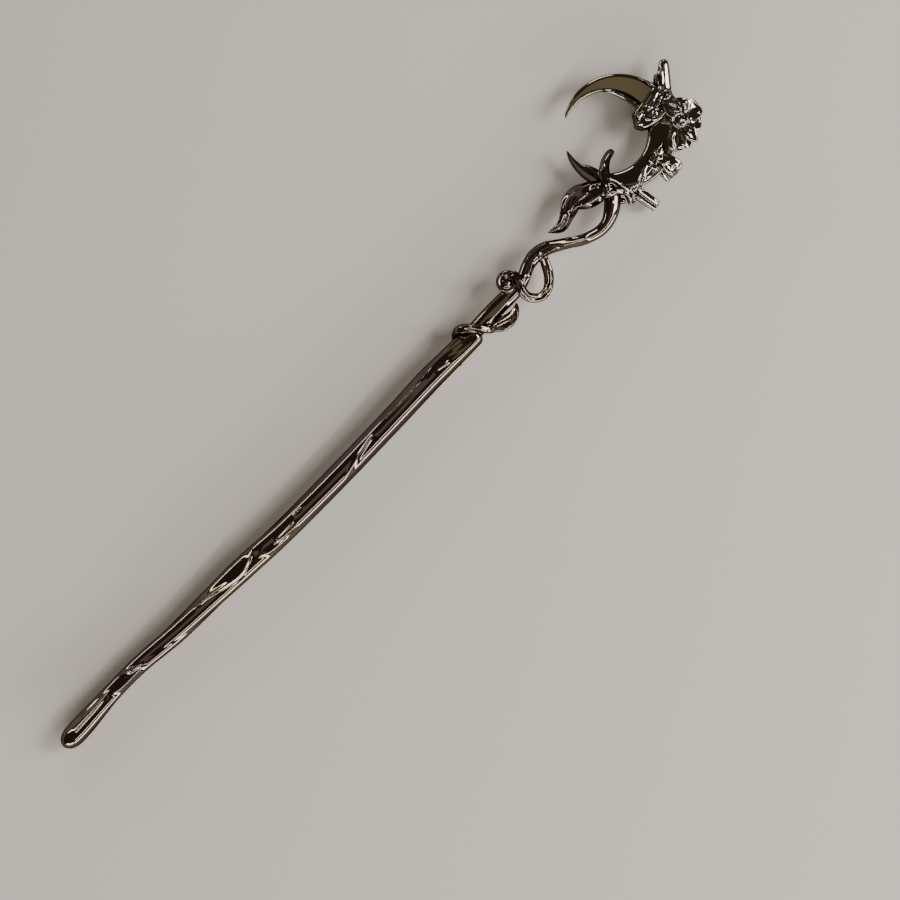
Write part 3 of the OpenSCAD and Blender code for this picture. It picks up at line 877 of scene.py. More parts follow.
@dataclass
class Neck(Casting):
    """The neck and the stem, the binding with its curled leaf, and the looped tendril with its knot.

    Attributes:
        knot_back: How far the knot lies back from the stem's start, as a share of knot_d.
        knot_side: How far it lies to the side, as a share of neck_w.
        coil_turns: Turns of the knot's coil.
        coil_core: Share of its radius that the coil starts at.
        coil_up: How far it lies above the neck's centre line, as a share of neck_d.
    """

    name: str = "neck"
    grain: float = 0.098
    knot_back: float = 0.36
    knot_side: float = 0.43
    coil_turns: float = 1.3
    coil_core: float = 0.18
    coil_up: float = 0.27

    CRESTS = crests(
        # Binding and curled leaf
        (0.26, 0.36, 1, 109.2, 1.3, 109.8, 1.4, 110.5, 0.8, 111.5, 0),
        (0.26, 0.36, 1, 111.5, 1.2, 112.3, 0.3, 113, -0.9, 113.6, -2.2, 114, -3.2),
        (0.2, 0.34, 1, 112.4, 1.2, 113.4, -0.2, 114.4, -1.6),
        (-0.22, 0.4, 1, 110.6, 1.6, 111.6, 0.4, 112.6, -1.4, 113.2, -2.8),
        (0.34, 0.42, 1, 114.8, -2.1, 116.2, -2.3, 117.8, -2.8, 119.4, -3, 121, -2.5),
        (0.3, 0.4, 1, 115.2, -2.6, 116.8, -3.1, 118.6, -3.7, 119.6, -3.5),
        (-0.3, 0.55, 1, 115.6, -3.4, 117, -4, 118.4, -4.4),
        (0.26, 0.34, 1, 117.8, -4.6, 119.2, -4.9, 120.4, -4, 121.2, -3),
        # Neck
        (0.16, 0.45, 2, 115.4, -1.2, 118.4, -1.15, 121.4, -1),
        # Knot
        (0.22, 0.34, 1, 122.2, 1.6, 122.7, 1.1, 123.4, 1.3),
        (0.18, 0.34, 1, 122.5, 2.1, 123.3, 2.5, 124, 2.3, 124.1, 1.6),
        # Loop
        (0.34, 0.34, 1, 125.7, 1, 125.1, 0.2, 124.6, -1, 124.4, -2.6, 124.7, -3.8, 125.9, -4.9),
        (0.26, 0.3, 1, 124.3, -0.6, 123.9, -1.8, 123.9, -3.2, 124.3, -4.2),
        (0.34, 0.36, 1, 126.2, -5.5, 127.6, -5.6),
        (0.3, 0.32, 1, 126.4, -4.8, 127.8, -4.9, 129, -4.4, 130.2, -3.2, 131, -1.9),
        (0.24, 0.3, 1, 125.6, -4.2, 127, -4.4, 128.8, -4, 130, -2.7, 130.8, -1.4),
        # Foot of the stem
        (0.26, 0.34, 1, 126.3, 0.6, 126.5, -0.4), (0.28, 0.36, 1, 127, -0.2, 127.9, 0, 129.6, 0.9),
        (0.28, 0.36, 1, 126.3, -1, 127.2, -0.9, 128.4, -0.8),
        (0.24, 0.36, 1, 128.2, 1.7, 129.8, 2.2, 132.8, 2, 134.6, 1.2),
        (0.4, 0.4, 1, 131.5, 1.6, 131.3, 0.6, 130.8, 0.2, 132.2, 0.15, 133.8, -0.3, 135, -0.6),
        (0.3, 0.34, 1, 132.6, 0, 133, -0.7, 132.6, -1, 131.6, -0.9),
        # Stem
        (0.3, 0.5, 1.6, 134.7, -0.5, 136.2, -1.4, 138.4, -2.6, 140.6, -3.8),
        (0.3, 0.4, 1, 137.6, -0.3, 138.4, -1.2, 139.2, -2.1), (0.22, 0.34, 1, 147.9, -2.2, 148.6, -1.8),
    )
    # Place along (share of neck_len), across (share of neck_w), height above the surface (share of
    # moon_up), width (share of neck_w), depth (share of neck_d)
    NECK = (
        (-0.6, -0.22, 0.72, 0.8, 0.8), (-0.2, -0.18, 0.78, 0.94, 0.94), (0.15, -0.12, 0.84, 0.98, 0.98),
        (0.5, -0.12, 0.88, 1, 1), (0.85, -0.13, 0.92, 0.96, 1), (1.05, -0.05, 0.95, 0.8, 0.88),
        (1.2, 0.1, 0.97, 0.6, 0.7), (1.35, 0.28, 0.99, 0.3, 0.4),
    )
    # Place along (share of stem_len), across (share of stem_sway), height above the surface (share
    # of moon_up), width and depth (shares of stem_w)
    STEM = (
        (-0.07, -0.08, 0.95, 1.05, 1.05), (0.04, 0, 0.97, 1.02, 1), (0.13, 0.18, 1, 1, 0.96),
        (0.22, 0.25, 1.04, 1.1, 0.96), (0.31, 0.16, 1.06, 1.06, 0.94), (0.38, -0.03, 1.06, 0.92, 0.92),
        (0.46, -0.27, 1.04, 0.84, 0.9), (0.54, -0.52, 1.02, 0.84, 0.9), (0.62, -0.68, 1, 0.86, 0.92),
        (0.69, -0.76, 0.98, 0.88, 0.94), (0.77, -0.73, 0.96, 0.96, 0.98), (0.85, -0.55, 0.94, 1.18, 1.04),
        (0.92, -0.29, 0.92, 1.22, 1.08), (1, 0.02, 0.92, 1, 1),
    )
    # Place along (share of neck_len), across (share of shaft_w), height above the shaft's underside
    # (share of shaft_d), width and depth (shares of bind_w)
    BINDING = (
        (-0.62, -0.6, 0.3, 0.7, 0.6), (-0.5, -0.3, 0.12, 0.9, 0.66), (-0.39, 0.06, 0.13, 1.04, 0.74),
        (-0.29, 0.33, 0.38, 1.3, 0.9), (-0.21, 0.34, 0.76, 1.36, 1), (-0.1, 0.14, 1, 1.14, 0.84),
        (0.01, -0.14, 1.02, 1.06, 0.78), (0.09, -0.4, 0.86, 1.04, 0.8), (0.16, -0.56, 0.62, 1, 0.84),
    )
    # Place along (share of curl_len), across (share of curl_w), height (share of moon_up), width
    # (share of curl_w), depth (share of leaf_t)
    CURL = (
        (-0.06, 0.1, 0.8, 0.44, 0.8), (0.1, -0.02, 0.9, 0.88, 0.96), (0.26, -0.22, 0.98, 1.16, 1),
        (0.44, -0.38, 1.04, 1.22, 1), (0.62, -0.42, 1.08, 1.06, 0.96), (0.8, -0.28, 1.1, 0.74, 0.8),
        (0.92, -0.06, 1.08, 0.44, 0.6), (1, 0.16, 1.04, 0.1, 0.3),
    )
    # Place along (share of loop_len), across (share of loop_drop), height (share of moon_up), width
    # (share of loop_wire)
    LOOP = (
        (0.13, 0.32, 1.46, 1), (0.1, 0.1, 1.54, 1.04), (0, -0.14, 1.52, 1.12), (-0.03, -0.4, 1.34, 1.16),
        (0.07, -0.62, 1.12, 1.16), (0.25, -0.75, 0.98, 1.14), (0.46, -0.73, 0.94, 1.14),
        (0.65, -0.57, 0.94, 1.2), (0.79, -0.36, 0.96, 1.26), (0.89, -0.13, 0.98, 1.22), (0.98, 0.1, 1, 1),
    )
    # Where the curled leaf starts (shares of neck_len and shaft_w), counted from the shaft's end, and
    # where the loop's shares count from (shares of loop_len and neck_w), from the stem's start
    CURL_AT = (0.15, -0.56)
    LOOP_AT = (-0.1, -0.1)
    # The knot: points along its coil and their climb (share of loop_wire), then the core's depth (share
    # of loop_wire), the shift of its top (shares of knot_d) and its radii (shares of the coil's)
    COIL_STEPS, COIL_RISE = 14, 0.24
    CORE_DEPTH, CORE_SHIFT, CORE_RADII = 0.45, (-0.06, 0.02, 0), (0.95, 0.8)

    def forms(self) -> Iterator[Form]:
        """Sweep the neck, the stem, the binding and its leaf, then the looped tendril.

        Yields:
            Each form in turn.
        """
        size = self.sizes
        x, up, stem_w, bind_w = size.shaft_len, size.moon_up, size.stem_w, size.bind_w
        neck = scaled(self.NECK, (x, 0, 0), (size.neck_len, size.neck_w, up, size.neck_w, size.neck_d))
        yield Limb(neck, steps=70, sides=40, ends=(0, 0))
        stem = scaled(self.STEM, (size.stem_x, 0, 0), (size.stem_len, size.stem_sway, up, stem_w, stem_w))
        yield Limb(stem, steps=150, sides=36, crease=-0.12, ends=(0, 0))
        around = (size.neck_len, size.shaft_w, size.shaft_d, bind_w, bind_w)
        binding = scaled(self.BINDING, (x, 0, size.bind_lift), around, roll=90)
        yield Limb(binding, steps=90, up=Vector((1, 0, 0.2)), crease=-0.2, ends=(0, 0))
        curl_at = (x + self.CURL_AT[0] * size.neck_len, self.CURL_AT[1] * size.shaft_w, 0)
        curl = scaled(self.CURL, curl_at, (size.curl_len, size.curl_w, up, size.curl_w, size.leaf_t))
        yield Limb(curl, steps=50, sides=32, crease=0.5, cup=-0.1)
        yield from self._tendril()

    def _tendril(self) -> Iterator[Form]:
        """Sweep the looped tendril, which starts in a coiled knot, and fill the knot's core.

        Yields:
            The tendril and the core.
        """
        size, wire = self.sizes, self.sizes.loop_wire
        radius = (size.knot_d - wire) / 2
        knot_at = Vector((
            size.stem_x - self.knot_back * size.knot_d, size.neck_w * self.knot_side,
            size.moon_up + self.coil_up * size.neck_d,
        ))
        climb = self.COIL_RISE * wire
        way = coil(knot_at, radius, self.coil_turns, self.coil_core, climb, self.COIL_STEPS)
        loop_at = (size.stem_x + self.LOOP_AT[0] * size.loop_len, self.LOOP_AT[1] * size.neck_w, 0)
        scale = (size.loop_len, size.loop_drop, size.moon_up, wire, wire)
        loop = scaled([(*row, 1) for row in self.LOOP], loop_at, scale)
        yield Limb([(*p, wire, wire, 0) for p in way] + loop, steps=200, crease=0.5, ends=(0.02, 0))
        deep = knot_at - Vector((0, 0, self.CORE_DEPTH * wire))
        top = knot_at + Vector(self.CORE_SHIFT) * size.knot_d
        yield Drop(deep, top, *(share * radius for share in self.CORE_RADII))


HEAD_CRESTS = crests(
    # Hanging leaf
    (0.2, 0.32, 1, 140.4, 3.2, 141.1, 3.85, 142.3, 4.2, 143.9, 4.55),
    (0.26, 0.36, 1, 135.9, 2.4, 138.1, 1.95, 139.4, 2.36, 140.3, 2.8, 140.7, 3.4),
    (0.24, 0.34, 1, 140.4, 3.2, 140.9, 2.55, 142.6, 2.8, 143.8, 2.88, 145.3, 2.66, 146.9, 2.3),
    (0.24, 0.34, 1, 142.6, 2.5, 143.5, 1.8, 144.4, 0.8, 145.2, 0.1),
    # Crossing
    (0.34, 0.46, 1, 148.2, 1.4, 149.1, 1.9, 150.1, 2.5),
    (0.38, 0.6, 1, 146.6, -0.1, 147.5, -0.6, 148.4, -0.5, 149.6, -0.1),
    (0.38, 0.5, 1, 150.5, 2.6, 151.2, 1.4, 151.7, 0.3, 151.9, -0.6, 152.3, -2),
    (0.3, 0.42, 1, 149.9, -1, 150.7, -2.2, 151.2, -3.2, 151, -4.6),
    (0.28, 0.4, 1, 148.4, 8.4, 148.6, 6.6, 148.9, 5.8), (0.28, 0.4, 1, 149.6, 7, 150, 5.9, 150.6, 4.7),
    (0.34, 0.44, 1, 151.2, 3.7, 152.2, 4.2, 153.6, 4.8, 155.6, 4.85),
    (-0.24, 0.5, 1, 149.4, 0.9, 150.4, 0.3, 150.9, -0.8),
    # Lower edge of the crescent
    (0.36, 0.42, 1, 154, -2.85, 152.6, -2.7, 152.2, -4, 152, -4.8, 153.2, -4.5),
    (0.36, 0.44, 1, 152.9, -2.95, 154.2, -2.85, 154.4, -3.5, 155.4, -3.1, 156.3, -2.6, 157, -2.1, 157.9,
     -1.8, 158.6, -1.6, 159.2, -2, 159.7, -1.5),
    (0.38, 0.42, 1, 159.6, -1.4, 159.8, -2.6, 160, -3.4, 159.8, -4.4, 159.7, -5.8, 160.1, -7),
    (0.3, 0.42, 1, 159.9, -2.5, 160.6, -1.9, 161.5, -1.2, 162.7, -0.9),
    (0.34, 0.44, 1, 160.2, -4.5, 160, -5.4, 160.4, -6.4, 161.9, -6.3),
    (0.3, 0.44, 1, 160.7, -5.8, 161.3, -5.3, 161.9, -5.4),
    (0.24, 0.36, 1, 160.3, -3.5, 160.7, -4, 161.6, -4.2),
    (0.34, 0.44, 1, 150.3, -5.15, 151.2, -5.1, 152.8, -5.5),
    (0.36, 0.4, 1, 153.6, -4, 154.6, -4.6, 154.8, -6.2, 154.8, -7.4, 154.6, -8.9),
    (0.32, 0.5, 1, 155.9, -3.6, 156.8, -4.1, 157.6, -4.3, 158.4, -3.4, 158, -2.7),
    (0.22, 0.36, 1, 158.9, -2.4, 159.1, -4.4, 159.2, -6.3),
    # Scroll and wrapped leaves
    (0.3, 0.36, 1, 163.2, 13.4, 164.3, 11.4, 164.9, 10, 165, 8.8, 165.2, 7.4),
    (0.38, 0.46, 1, 162.6, 4.9, 163.2, 5.7, 164.3, 5.7, 164.1, 4.8, 164.6, 3.8, 165.5, 3.1),
    (0.38, 0.44, 1, 165.9, 6.6, 165.6, 5.4, 165.9, 4.4), (0.32, 0.4, 1, 165.3, 5.1, 166.6, 5.05),
    (0.32, 0.4, 1, 165.2, 4.1, 165.9, 3.7, 166.3, 4.1, 166.8, 3.1),
    (0.32, 0.38, 1, 167, 3.9, 167.2, 3.2, 167.4, 2.6), (0.3, 0.38, 1, 166.1, 2.3, 167.2, 1.9),
    (0.28, 0.38, 1, 167.3, 6.2, 167.2, 5), (-0.3, 0.5, 1, 163.2, 4.6, 163.6, 3.8),
    (-0.26, 0.5, 1, 164.9, 6.6, 164.9, 5.2, 165.2, 4.4),
    # Blossom
    (0.36, 0.42, 1, 167.5, 4.2, 168.3, 4.9, 168.9, 4),
    (0.38, 0.44, 1, 171.4, 4.5, 169.6, 4.4, 169.4, 3.4, 169.8, 2.3, 169.8, 1.5, 169.2, 0.5),
    (0.26, 0.38, 1, 168.5, 2.8, 168.5, 1.9, 168.2, 1.1),
    (0.4, 0.6, 1, 170.9, 2.9, 171, 1.6, 170.6, 0.7, 170, 0),
    (0.36, 0.55, 1, 170.2, 0, 171.2, 0.3, 172.1, 0.9),
    (0.4, 0.5, 1, 172.7, 0.8, 172.8, -0.4, 172.8, -1.3, 172.1, -2.2),
    (0.34, 0.42, 1, 171.8, -1.7, 171.9, -2.7, 171.6, -3.6), (0.36, 0.5, 1, 168, -0.4, 169.1, -0.3),
    (0.28, 0.4, 1, 168, -1, 167.7, -1.8, 167.6, -2.9, 167.5, -4.2),
    (0.32, 0.4, 1, 170, -0.4, 169.3, -1.4, 170.2, -1.8), (0.2, 0.34, 1, 168.3, -2.2, 168.4, -3.4),
    (0.32, 0.4, 1, 166.4, -1.5, 166.2, -2.3, 165.9, -3),
    (0.26, 0.36, 1, 166.9, -1.4, 167, -2.8, 166.5, -3.5),
    (0.28, 0.38, 1, 166, -1.2, 165, -1.5, 164.4, -2.2, 164, -3.2, 163.7, -4),
    (0.36, 0.44, 1, 164.1, -3.4, 165.2, -4.05, 166.2, -4.7),
    (-0.32, 0.6, 1, 168.9, -2.2, 170.2, -2.6, 171.2, -2.4), (-0.3, 0.6, 1, 168.8, 3.4, 169, 2.2),
    (-0.3, 0.6, 1, 170.4, 3.6, 170.3, 2.2), (-0.26, 0.5, 1, 167.3, -1.4, 167.2, -3.4),
    # Spike leaves
    (0.28, 0.38, 1, 173.4, 9.6, 172.3, 8.4, 171.4, 7.4, 170.4, 6.6),
    (0.32, 0.42, 1, 170.1, 5.2, 171.3, 5.7),
    (0.32, 0.38, 1, 168.6, 11, 169, 9.9, 169.2, 8.3, 169.9, 8.7, 170.5, 9.6),
)


@dataclass
class Moon(Casting):
    """What lies on the crescent shares these crests and the ways to find a place on it."""

    CRESTS = HEAD_CRESTS
    # How far the inner edge's centre lies from the outer's (share of the difference of the radii), and
    # in which direction, in degrees
    BITE_OFF = 0.68
    BITE_TURN = 135

    def inner_edge(self, q: float) -> float:
        """Find the crescent's inner edge.

        Args:
            q: A direction from the crescent's centre, in degrees.

        Returns:
            How far the edge lies from the centre.
        """
        size = self.sizes
        off = (size.moon_r - size.bite_r) * self.BITE_OFF
        s = off * turned(q - self.BITE_TURN)[0]
        return s + math.sqrt(s * s - off * off + size.bite_r**2)

    def on_moon(self, share: float, q: float, high: float) -> Vector:
        """Find a place on the crescent.

        Args:
            share: Share of the way from its inner to its outer edge.
            q: Direction from its centre, in degrees.
            high: Height above its middle plane, as a share of its thickness.

        Returns:
            The place, in millimetres.
        """
        size = self.sizes
        inner = self.inner_edge(q)
        reach = inner + share * (size.moon_r - inner)
        c, s = turned(q)
        return size.moon_at + Vector((reach * c, reach * s, size.moon_t * high))

    def vine(self, rows: Table, steps: int, crease: float = 0.0, ends: Pair = (0.0, 0.1)) -> Limb:
        """Sweep a vine whose table counts from the crescent's centre.

        Args:
            rows: Along, across, height, width and depth, in shares of the crescent and the vine.
            steps: Rings along it.
            crease: Its groove or ridge.
            ends: Shares of its length over which its ends are rounded.

        Returns:
            The vine.
        """
        size, width = self.sizes, self.sizes.vine_w
        stations = [(*size.by_moon(a, b, h), width * w, width * d, 0) for a, b, h, w, d in rows]
        return Limb(stations, steps, crease=crease, ends=ends)


@dataclass
class Crescent(Moon):
    """The crescent itself: a flat-topped moon with rounded edges.

    Attributes:
        first: Direction of the upper horn's tip, in degrees.
        sweep: How far round it runs from there.
        rings: Rings along it.
        sides: Points round each ring.
        horn_round: Share of the way over which each horn is drawn out to its tip.
        thinning: Power of the breadth by which it gets thinner towards the horns.
        bevel: Depth of the chamfer on its inner edge, as a share of the thickness.
        bevel_tilt: The chamfer's slope, in degrees.
    """

    name: str = "crescent"
    grain: float = 0.0
    polish: int = 1
    first: float = 120.0
    sweep: float = 326.0
    rings: int = 520
    sides: int = 96
    horn_round: float = 0.1
    thinning: float = 0.6
    bevel: float = 0.2
    bevel_tilt: float = 39.0

    # How square its section is, and how far its face leans outwards, at equal steps from the upper
    # horn to the lower one
    FACE = (
        (2.1, 0), (2.5, 0.04), (4, 0.02), (4.4, 0), (4.4, -0.12), (4.4, -0.28), (4.4, -0.27),
        (4.4, -0.25), (4.2, -0.24), (3.6, -0.18), (2.6, -0.1), (2.1, 0),
    )
    CRESTS = ()

    def __post_init__(self) -> None:
        """Work out how broad the crescent is where it's broadest."""
        self._face = np.array(self.FACE, float)
        self._broadest = self.sizes.moon_r - self.inner_edge(self.BITE_TURN - 180)

    def forms(self) -> Iterator[Form]:
        """Yield the crescent's skin."""
        yield Skin(self.rings, self.sides, self.seat)

    def seat(self, share: float, degrees: float) -> Vector:
        """Find a place on the skin.

        Args:
            share: Share of the way round, from the upper horn.
            degrees: Direction about the middle of the section there.

        Returns:
            The place, in millimetres.
        """
        q = self.first - self.sweep * share
        power, lean = row_at(self._face, share)
        wide = self.sizes.moon_r - self.inner_edge(q)
        wide = wide * rounding(share, self.horn_round) * rounding(1 - share, self.horn_round)
        deep = self.sizes.moon_t * (wide / self._broadest) ** self.thinning
        c, s = turned(degrees)
        rise, run = turned(self.bevel_tilt)
        limit = (0.5 - self.bevel) * deep * rise + 0.5 * wide * run
        limit = limit / max(0.5 * deep * abs(s) * rise - 0.5 * wide * c * run, 0.001)
        reach = min(square_off(c, s, power), limit)
        out = Vector((*turned(q), 0))
        up = Vector((0, 0, 0.5 * deep * reach * s + 0.5 * wide * reach * lean * (0 - c)))
        return self.on_moon(0.5, q, 0) + out * (0.5 * wide * reach * c) + up


@dataclass
class Vines(Moon):
    """The vines that cross the crescent's lower horn, and the hanging leaf."""

    name: str = "vines"
    grain: float = 0.085
    polish: int = 8
    rub: int = 2

    # Place along and across (shares of moon_r from the crescent's centre), height (share of moon_t
    # from its middle plane), width and depth (shares of vine_w)
    VINE_UP = (
        (-0.86, -0.66, 0.1, 0.8, 0.9), (-0.77, -0.47, 0.62, 1.16, 1), (-0.68, -0.31, 0.66, 1.24, 1),
        (-0.55, -0.2, 0.44, 1.1, 0.9), (-0.42, -0.15, 0.28, 0.96, 0.84), (-0.29, -0.14, 0.16, 0.72, 0.66),
    )
    VINE_DOWN = (
        (-0.8, -0.26, 0.4, 0.7, 0.7), (-0.73, -0.42, 0.74, 0.86, 0.84), (-0.67, -0.6, 0.76, 0.92, 0.9),
        (-0.65, -0.78, 0.5, 0.88, 0.9), (-0.67, -0.94, 0.16, 0.9, 0.84), (-0.7, -1.04, 0, 0.6, 0.6),
    )
    VINE_ROOT = (
        (-1.04, -0.52, 0.1, 0.7, 0.8), (-0.95, -0.6, 0.44, 1.1, 1), (-0.83, -0.62, 0.62, 1.3, 1.1),
        (-0.73, -0.68, 0.5, 1.2, 1.1), (-0.62, -0.78, 0.3, 1.1, 1.1), (-0.48, -0.84, 0.2, 0.9, 1),
        (-0.28, -0.88, 0.16, 0.8, 0.8), (-0.06, -0.84, 0.2, 0.7, 0.7),
    )
    VINE_BACK = (
        (-0.62, -0.26, -0.3, 0.6, 0.7), (-0.76, -0.4, -0.66, 1, 0.9), (-0.86, -0.6, -0.6, 1.1, 0.9),
        (-0.84, -0.8, -0.2, 0.9, 0.9), (-0.76, -0.9, 0.1, 0.6, 0.7),
    )
    HORN_LEAF = (
        (-0.78, -0.4, 0.2, 0.9, 0.9), (-0.78, -0.26, 0.24, 1.06, 0.94), (-0.8, -0.12, 0.22, 0.9, 0.8),
        (-0.84, 0, 0.14, 0.62, 0.6), (-0.88, 0.1, 0.06, 0.14, 0.26),
    )
    # Place back from the root (share of leaf_len), across (share of leaf_w), height (share of
    # leaf_t), width (share of leaf_w), depth (share of leaf_t), roll
    HANGING_LEAF = (
        (-0.06, 0.02, 0.3, 0.34, 0.9, 0), (0.06, 0.22, 0.5, 0.5, 1, 12),
        (0.17, 0.36, 0.54, 0.68, 1.04, 22), (0.29, 0.46, 0.4, 0.9, 1.04, 24),
        (0.42, 0.38, 0.2, 0.98, 1, 10), (0.54, 0.2, 0.06, 0.9, 1, -10), (0.66, 0.03, 0, 0.74, 0.96, -26),
        (0.77, -0.1, 0.06, 0.64, 0.9, -22), (0.88, -0.04, 0.1, 0.42, 0.7, -6),
        (1, 0.16, 0.1, 0.04, 0.24, 0),
    )
    LEAF_FOLD = (
        (-0.08, -0.36, 0.3, 0.66, 0.9, 0), (0.08, -0.32, 0.5, 0.78, 1, -14),
        (0.22, -0.22, 0.54, 0.8, 1, -20), (0.34, -0.08, 0.5, 0.6, 0.9, -10),
        (0.44, 0, 0.44, 0.28, 0.7, 0), (0.56, 0.06, 0.4, 0.06, 0.3, 0),
    )
    # The hanging leaf's root, and the crossing's core: its two ends, then their radii in millimetres
    LEAF_ROOT = (-0.92, -0.39, 0)
    CORE = ((-0.85, -0.5, 0.02), (-0.79, -0.61, 0.06), 0.86, 0.92)

    def forms(self) -> Iterator[Form]:
        """Sweep the crossing vines and their core, then the hanging leaf and its fold.

        Yields:
            Each form in turn.
        """
        size = self.sizes
        yield self.vine(self.VINE_UP, steps=50, crease=-0.2)
        yield self.vine(self.VINE_DOWN, steps=50, crease=0.2)
        yield self.vine(self.VINE_ROOT, steps=70, crease=-0.2)
        yield self.vine(self.VINE_BACK, steps=50)
        yield self.vine(self.HORN_LEAF, steps=50, crease=-0.3, ends=(0, 0))
        start, end, *radii = self.CORE
        yield Drop(size.by_moon(*start), size.by_moon(*end), *radii)
        scale = (-size.leaf_len, size.leaf_w, size.leaf_t, size.leaf_w, size.leaf_t)
        for table, steps in ((self.HANGING_LEAF, 90), (self.LEAF_FOLD, 60)):
            stations = scaled(table, size.by_moon(*self.LEAF_ROOT), scale)
            yield Limb(stations, steps, sides=32, crease=-0.5, ends=(0, 0), section=Section.BLADE)


@dataclass
class EdgeLeaves(Moon):
    """The strip leaf, the small leaves and the bell-shaped bud on the crescent's outer edge."""

    name: str = "edge_leaves"
    grain: float = 0.085
    polish: int = 3

    # Root along and across (shares of moon_r), height (share of moon_t), turn, length (share of
    # strip_len), width (share of strip_w), thickness (share of leaf_t), bend, pitch, curl, crease, cup
    LEAVES = (
        (-0.54, -0.78, 0.06, -80, 1, 0.94, 1.2, 0, -12, -6, 0.8, 0),
        (0.05, -0.68, 0.62, -91, 0.88, 0.72, 1.2, 0, -14, -8, 0.7, 0),
        (-0.4, -0.85, 0.4, 2, 0.62, 0.95, 1, 10, 4, -10, -0.3, 0),
        (0.04, -0.83, 0.46, 22, 0.68, 0.94, 1, 10, 4, -18, -0.4, 0),
        (0.17, -0.68, 0.5, -84, 0.88, 1.28, 1.3, 6, 2, -34, 0.5, 0.3),
    )
    OUTLINES = (Outline.SQUARE, Outline.SQUARE, Outline.BELL, Outline.POINTED, Outline.BELL)
    # From along, across, height and to along, across, height (shares of moon_r and moon_t), the two
    # radii (shares of strip_w)
    BUDS = (
        (0.15, -0.72, 0.1, 0.15, -0.92, 0.1, 0.4, 0.5),
        (-0.36, -0.86, 0.14, -0.6, -0.86, 0.24, 0.28, 0.22), (-0.72, -0.98, 0, -0.62, -0.84, 0, 0.2, 0.3),
    )

    def forms(self) -> Iterator[Form]:
        """Grow the leaves and the buds.

        Yields:
            Each form in turn.
        """
        size = self.sizes
        for row, outline in zip(self.LEAVES, self.OUTLINES):
            along, across, high, turn, length, width, thick, *shape = row
            yield Leaf(
                size.by_moon(along, across, high), turn, size.strip_len * length, size.strip_w * width,
                size.leaf_t * thick, outline, *shape,
            ).limb(steps=40, sides=32)
        for row in self.BUDS:
            start, end = size.by_moon(*row[:3]), size.by_moon(*row[3:6])
            yield Drop(start, end, size.strip_w * row[6], size.strip_w * row[7])


@dataclass
class Wrap(Moon):
    """The ribbons of vine wound round the crescent, the scroll and the inner and outer tendrils.

    Attributes:
        scroll_r: The scroll's radius, as a share of vine_w.
        scroll_turns: How many turns it makes.
        scroll_core: Share of its radius that it starts at.
        scroll_rise: How far it climbs, as a share of vine_w.
    """

    name: str = "wrap"
    grain: float = 0.085
    polish: int = 6
    rub: int = 2
    scroll_r: float = 0.75
    scroll_turns: float = 1.2
    scroll_core: float = 0.18
    scroll_rise: float = 0.2

    # Share of the way from the inner to the outer edge, angle ahead of the ribbon's own, height
    # (share of moon_t), width and depth (shares of vine_w)
    RIBBON = (
        (1.06, 6, 0.1, 0.7, 0.8), (0.84, 5, 0.66, 1, 0.84), (0.46, 2, 0.8, 1.2, 0.9),
        (0.06, -1, 0.74, 1.3, 1.04), (-0.22, -3, 0.34, 1.3, 1.16), (-0.25, -4, -0.26, 1.2, 1.1),
        (0.04, -4, -0.8, 1.1, 1), (0.46, -2, -1, 1, 0.9), (0.84, 2, -0.76, 0.9, 0.8),
        (1.08, 5, -0.16, 0.6, 0.7),
    )
    # Angle round the crescent, size, slant from the inner to the outer edge
    RIBBONS = ((-2, 1, 0), (-13, 1.1, 6), (-25, 1.06, 2))
    # The tendrils count like the crossing vines
    INNER_TENDRIL = (
        (0.56, -0.1, 0.44, 0.9, 0.9), (0.53, 0.08, 0.36, 0.76, 0.8), (0.51, 0.24, 0.26, 0.64, 0.74),
        (0.46, 0.42, 0.2, 0.54, 0.64), (0.39, 0.57, 0.14, 0.4, 0.5), (0.3, 0.68, 0.1, 0.16, 0.24),
    )
    OUTER_TENDRIL = (
        (1.02, 0.02, 0.1, 0.6, 0.7), (0.97, 0.12, 0.4, 0.66, 0.7), (0.94, 0.2, 0.46, 0.6, 0.66),
        (0.91, 0.3, 0.44, 0.46, 0.56), (0.87, 0.41, 0.3, 0.24, 0.36),
    )
    # The scroll: its place as in RIBBON, points along it, its vine's width and depth (shares of
    # vine_w), the depth of its core (share of moon_t) and the core's radius (share of vine_w)
    SCROLL_AT, SCROLL_STEPS, SCROLL_W, SCROLL_D = (-0.1, -14, 0.5), 10, 0.7, 0.8
    CORE_DEPTH, CORE_R = 0.3, 0.6

    def forms(self) -> Iterator[Form]:
        """Wind the ribbons, the scroll and the tendrils.

        Yields:
            Each form in turn.
        """
        size, vine_w = self.sizes, self.sizes.vine_w
        for angle, scale, slant in self.RIBBONS:
            width = vine_w * scale
            stations = [
                (*self.on_moon(s, angle + q + slant * s, h), width * w, width * d, 90)
                for s, q, h, w, d in self.RIBBON
            ]
            c, s = turned(-angle)
            yield Limb(stations, steps=80, up=Vector((s, -c, 0.2)).normalized(), crease=0.3, ends=(0, 0))
        at, climb = self.on_moon(*self.SCROLL_AT), self.scroll_rise * vine_w
        way = coil(at, self.scroll_r * vine_w, self.scroll_turns, self.scroll_core, climb, self.SCROLL_STEPS)
        rows = [(*p, self.SCROLL_W * vine_w, self.SCROLL_D * vine_w, 0) for p in way]
        yield Limb(rows, steps=60, crease=0.2, ends=(0.04, 0))
        deep = at - Vector((0, 0, self.CORE_DEPTH * size.moon_t))
        yield Drop(at, deep, self.CORE_R * vine_w, self.CORE_R * vine_w)
        yield self.vine(self.INNER_TENDRIL, steps=70, crease=-0.2, ends=(0, 0))
        yield self.vine(self.OUTER_TENDRIL, steps=40, crease=-0.3, ends=(0, 0))


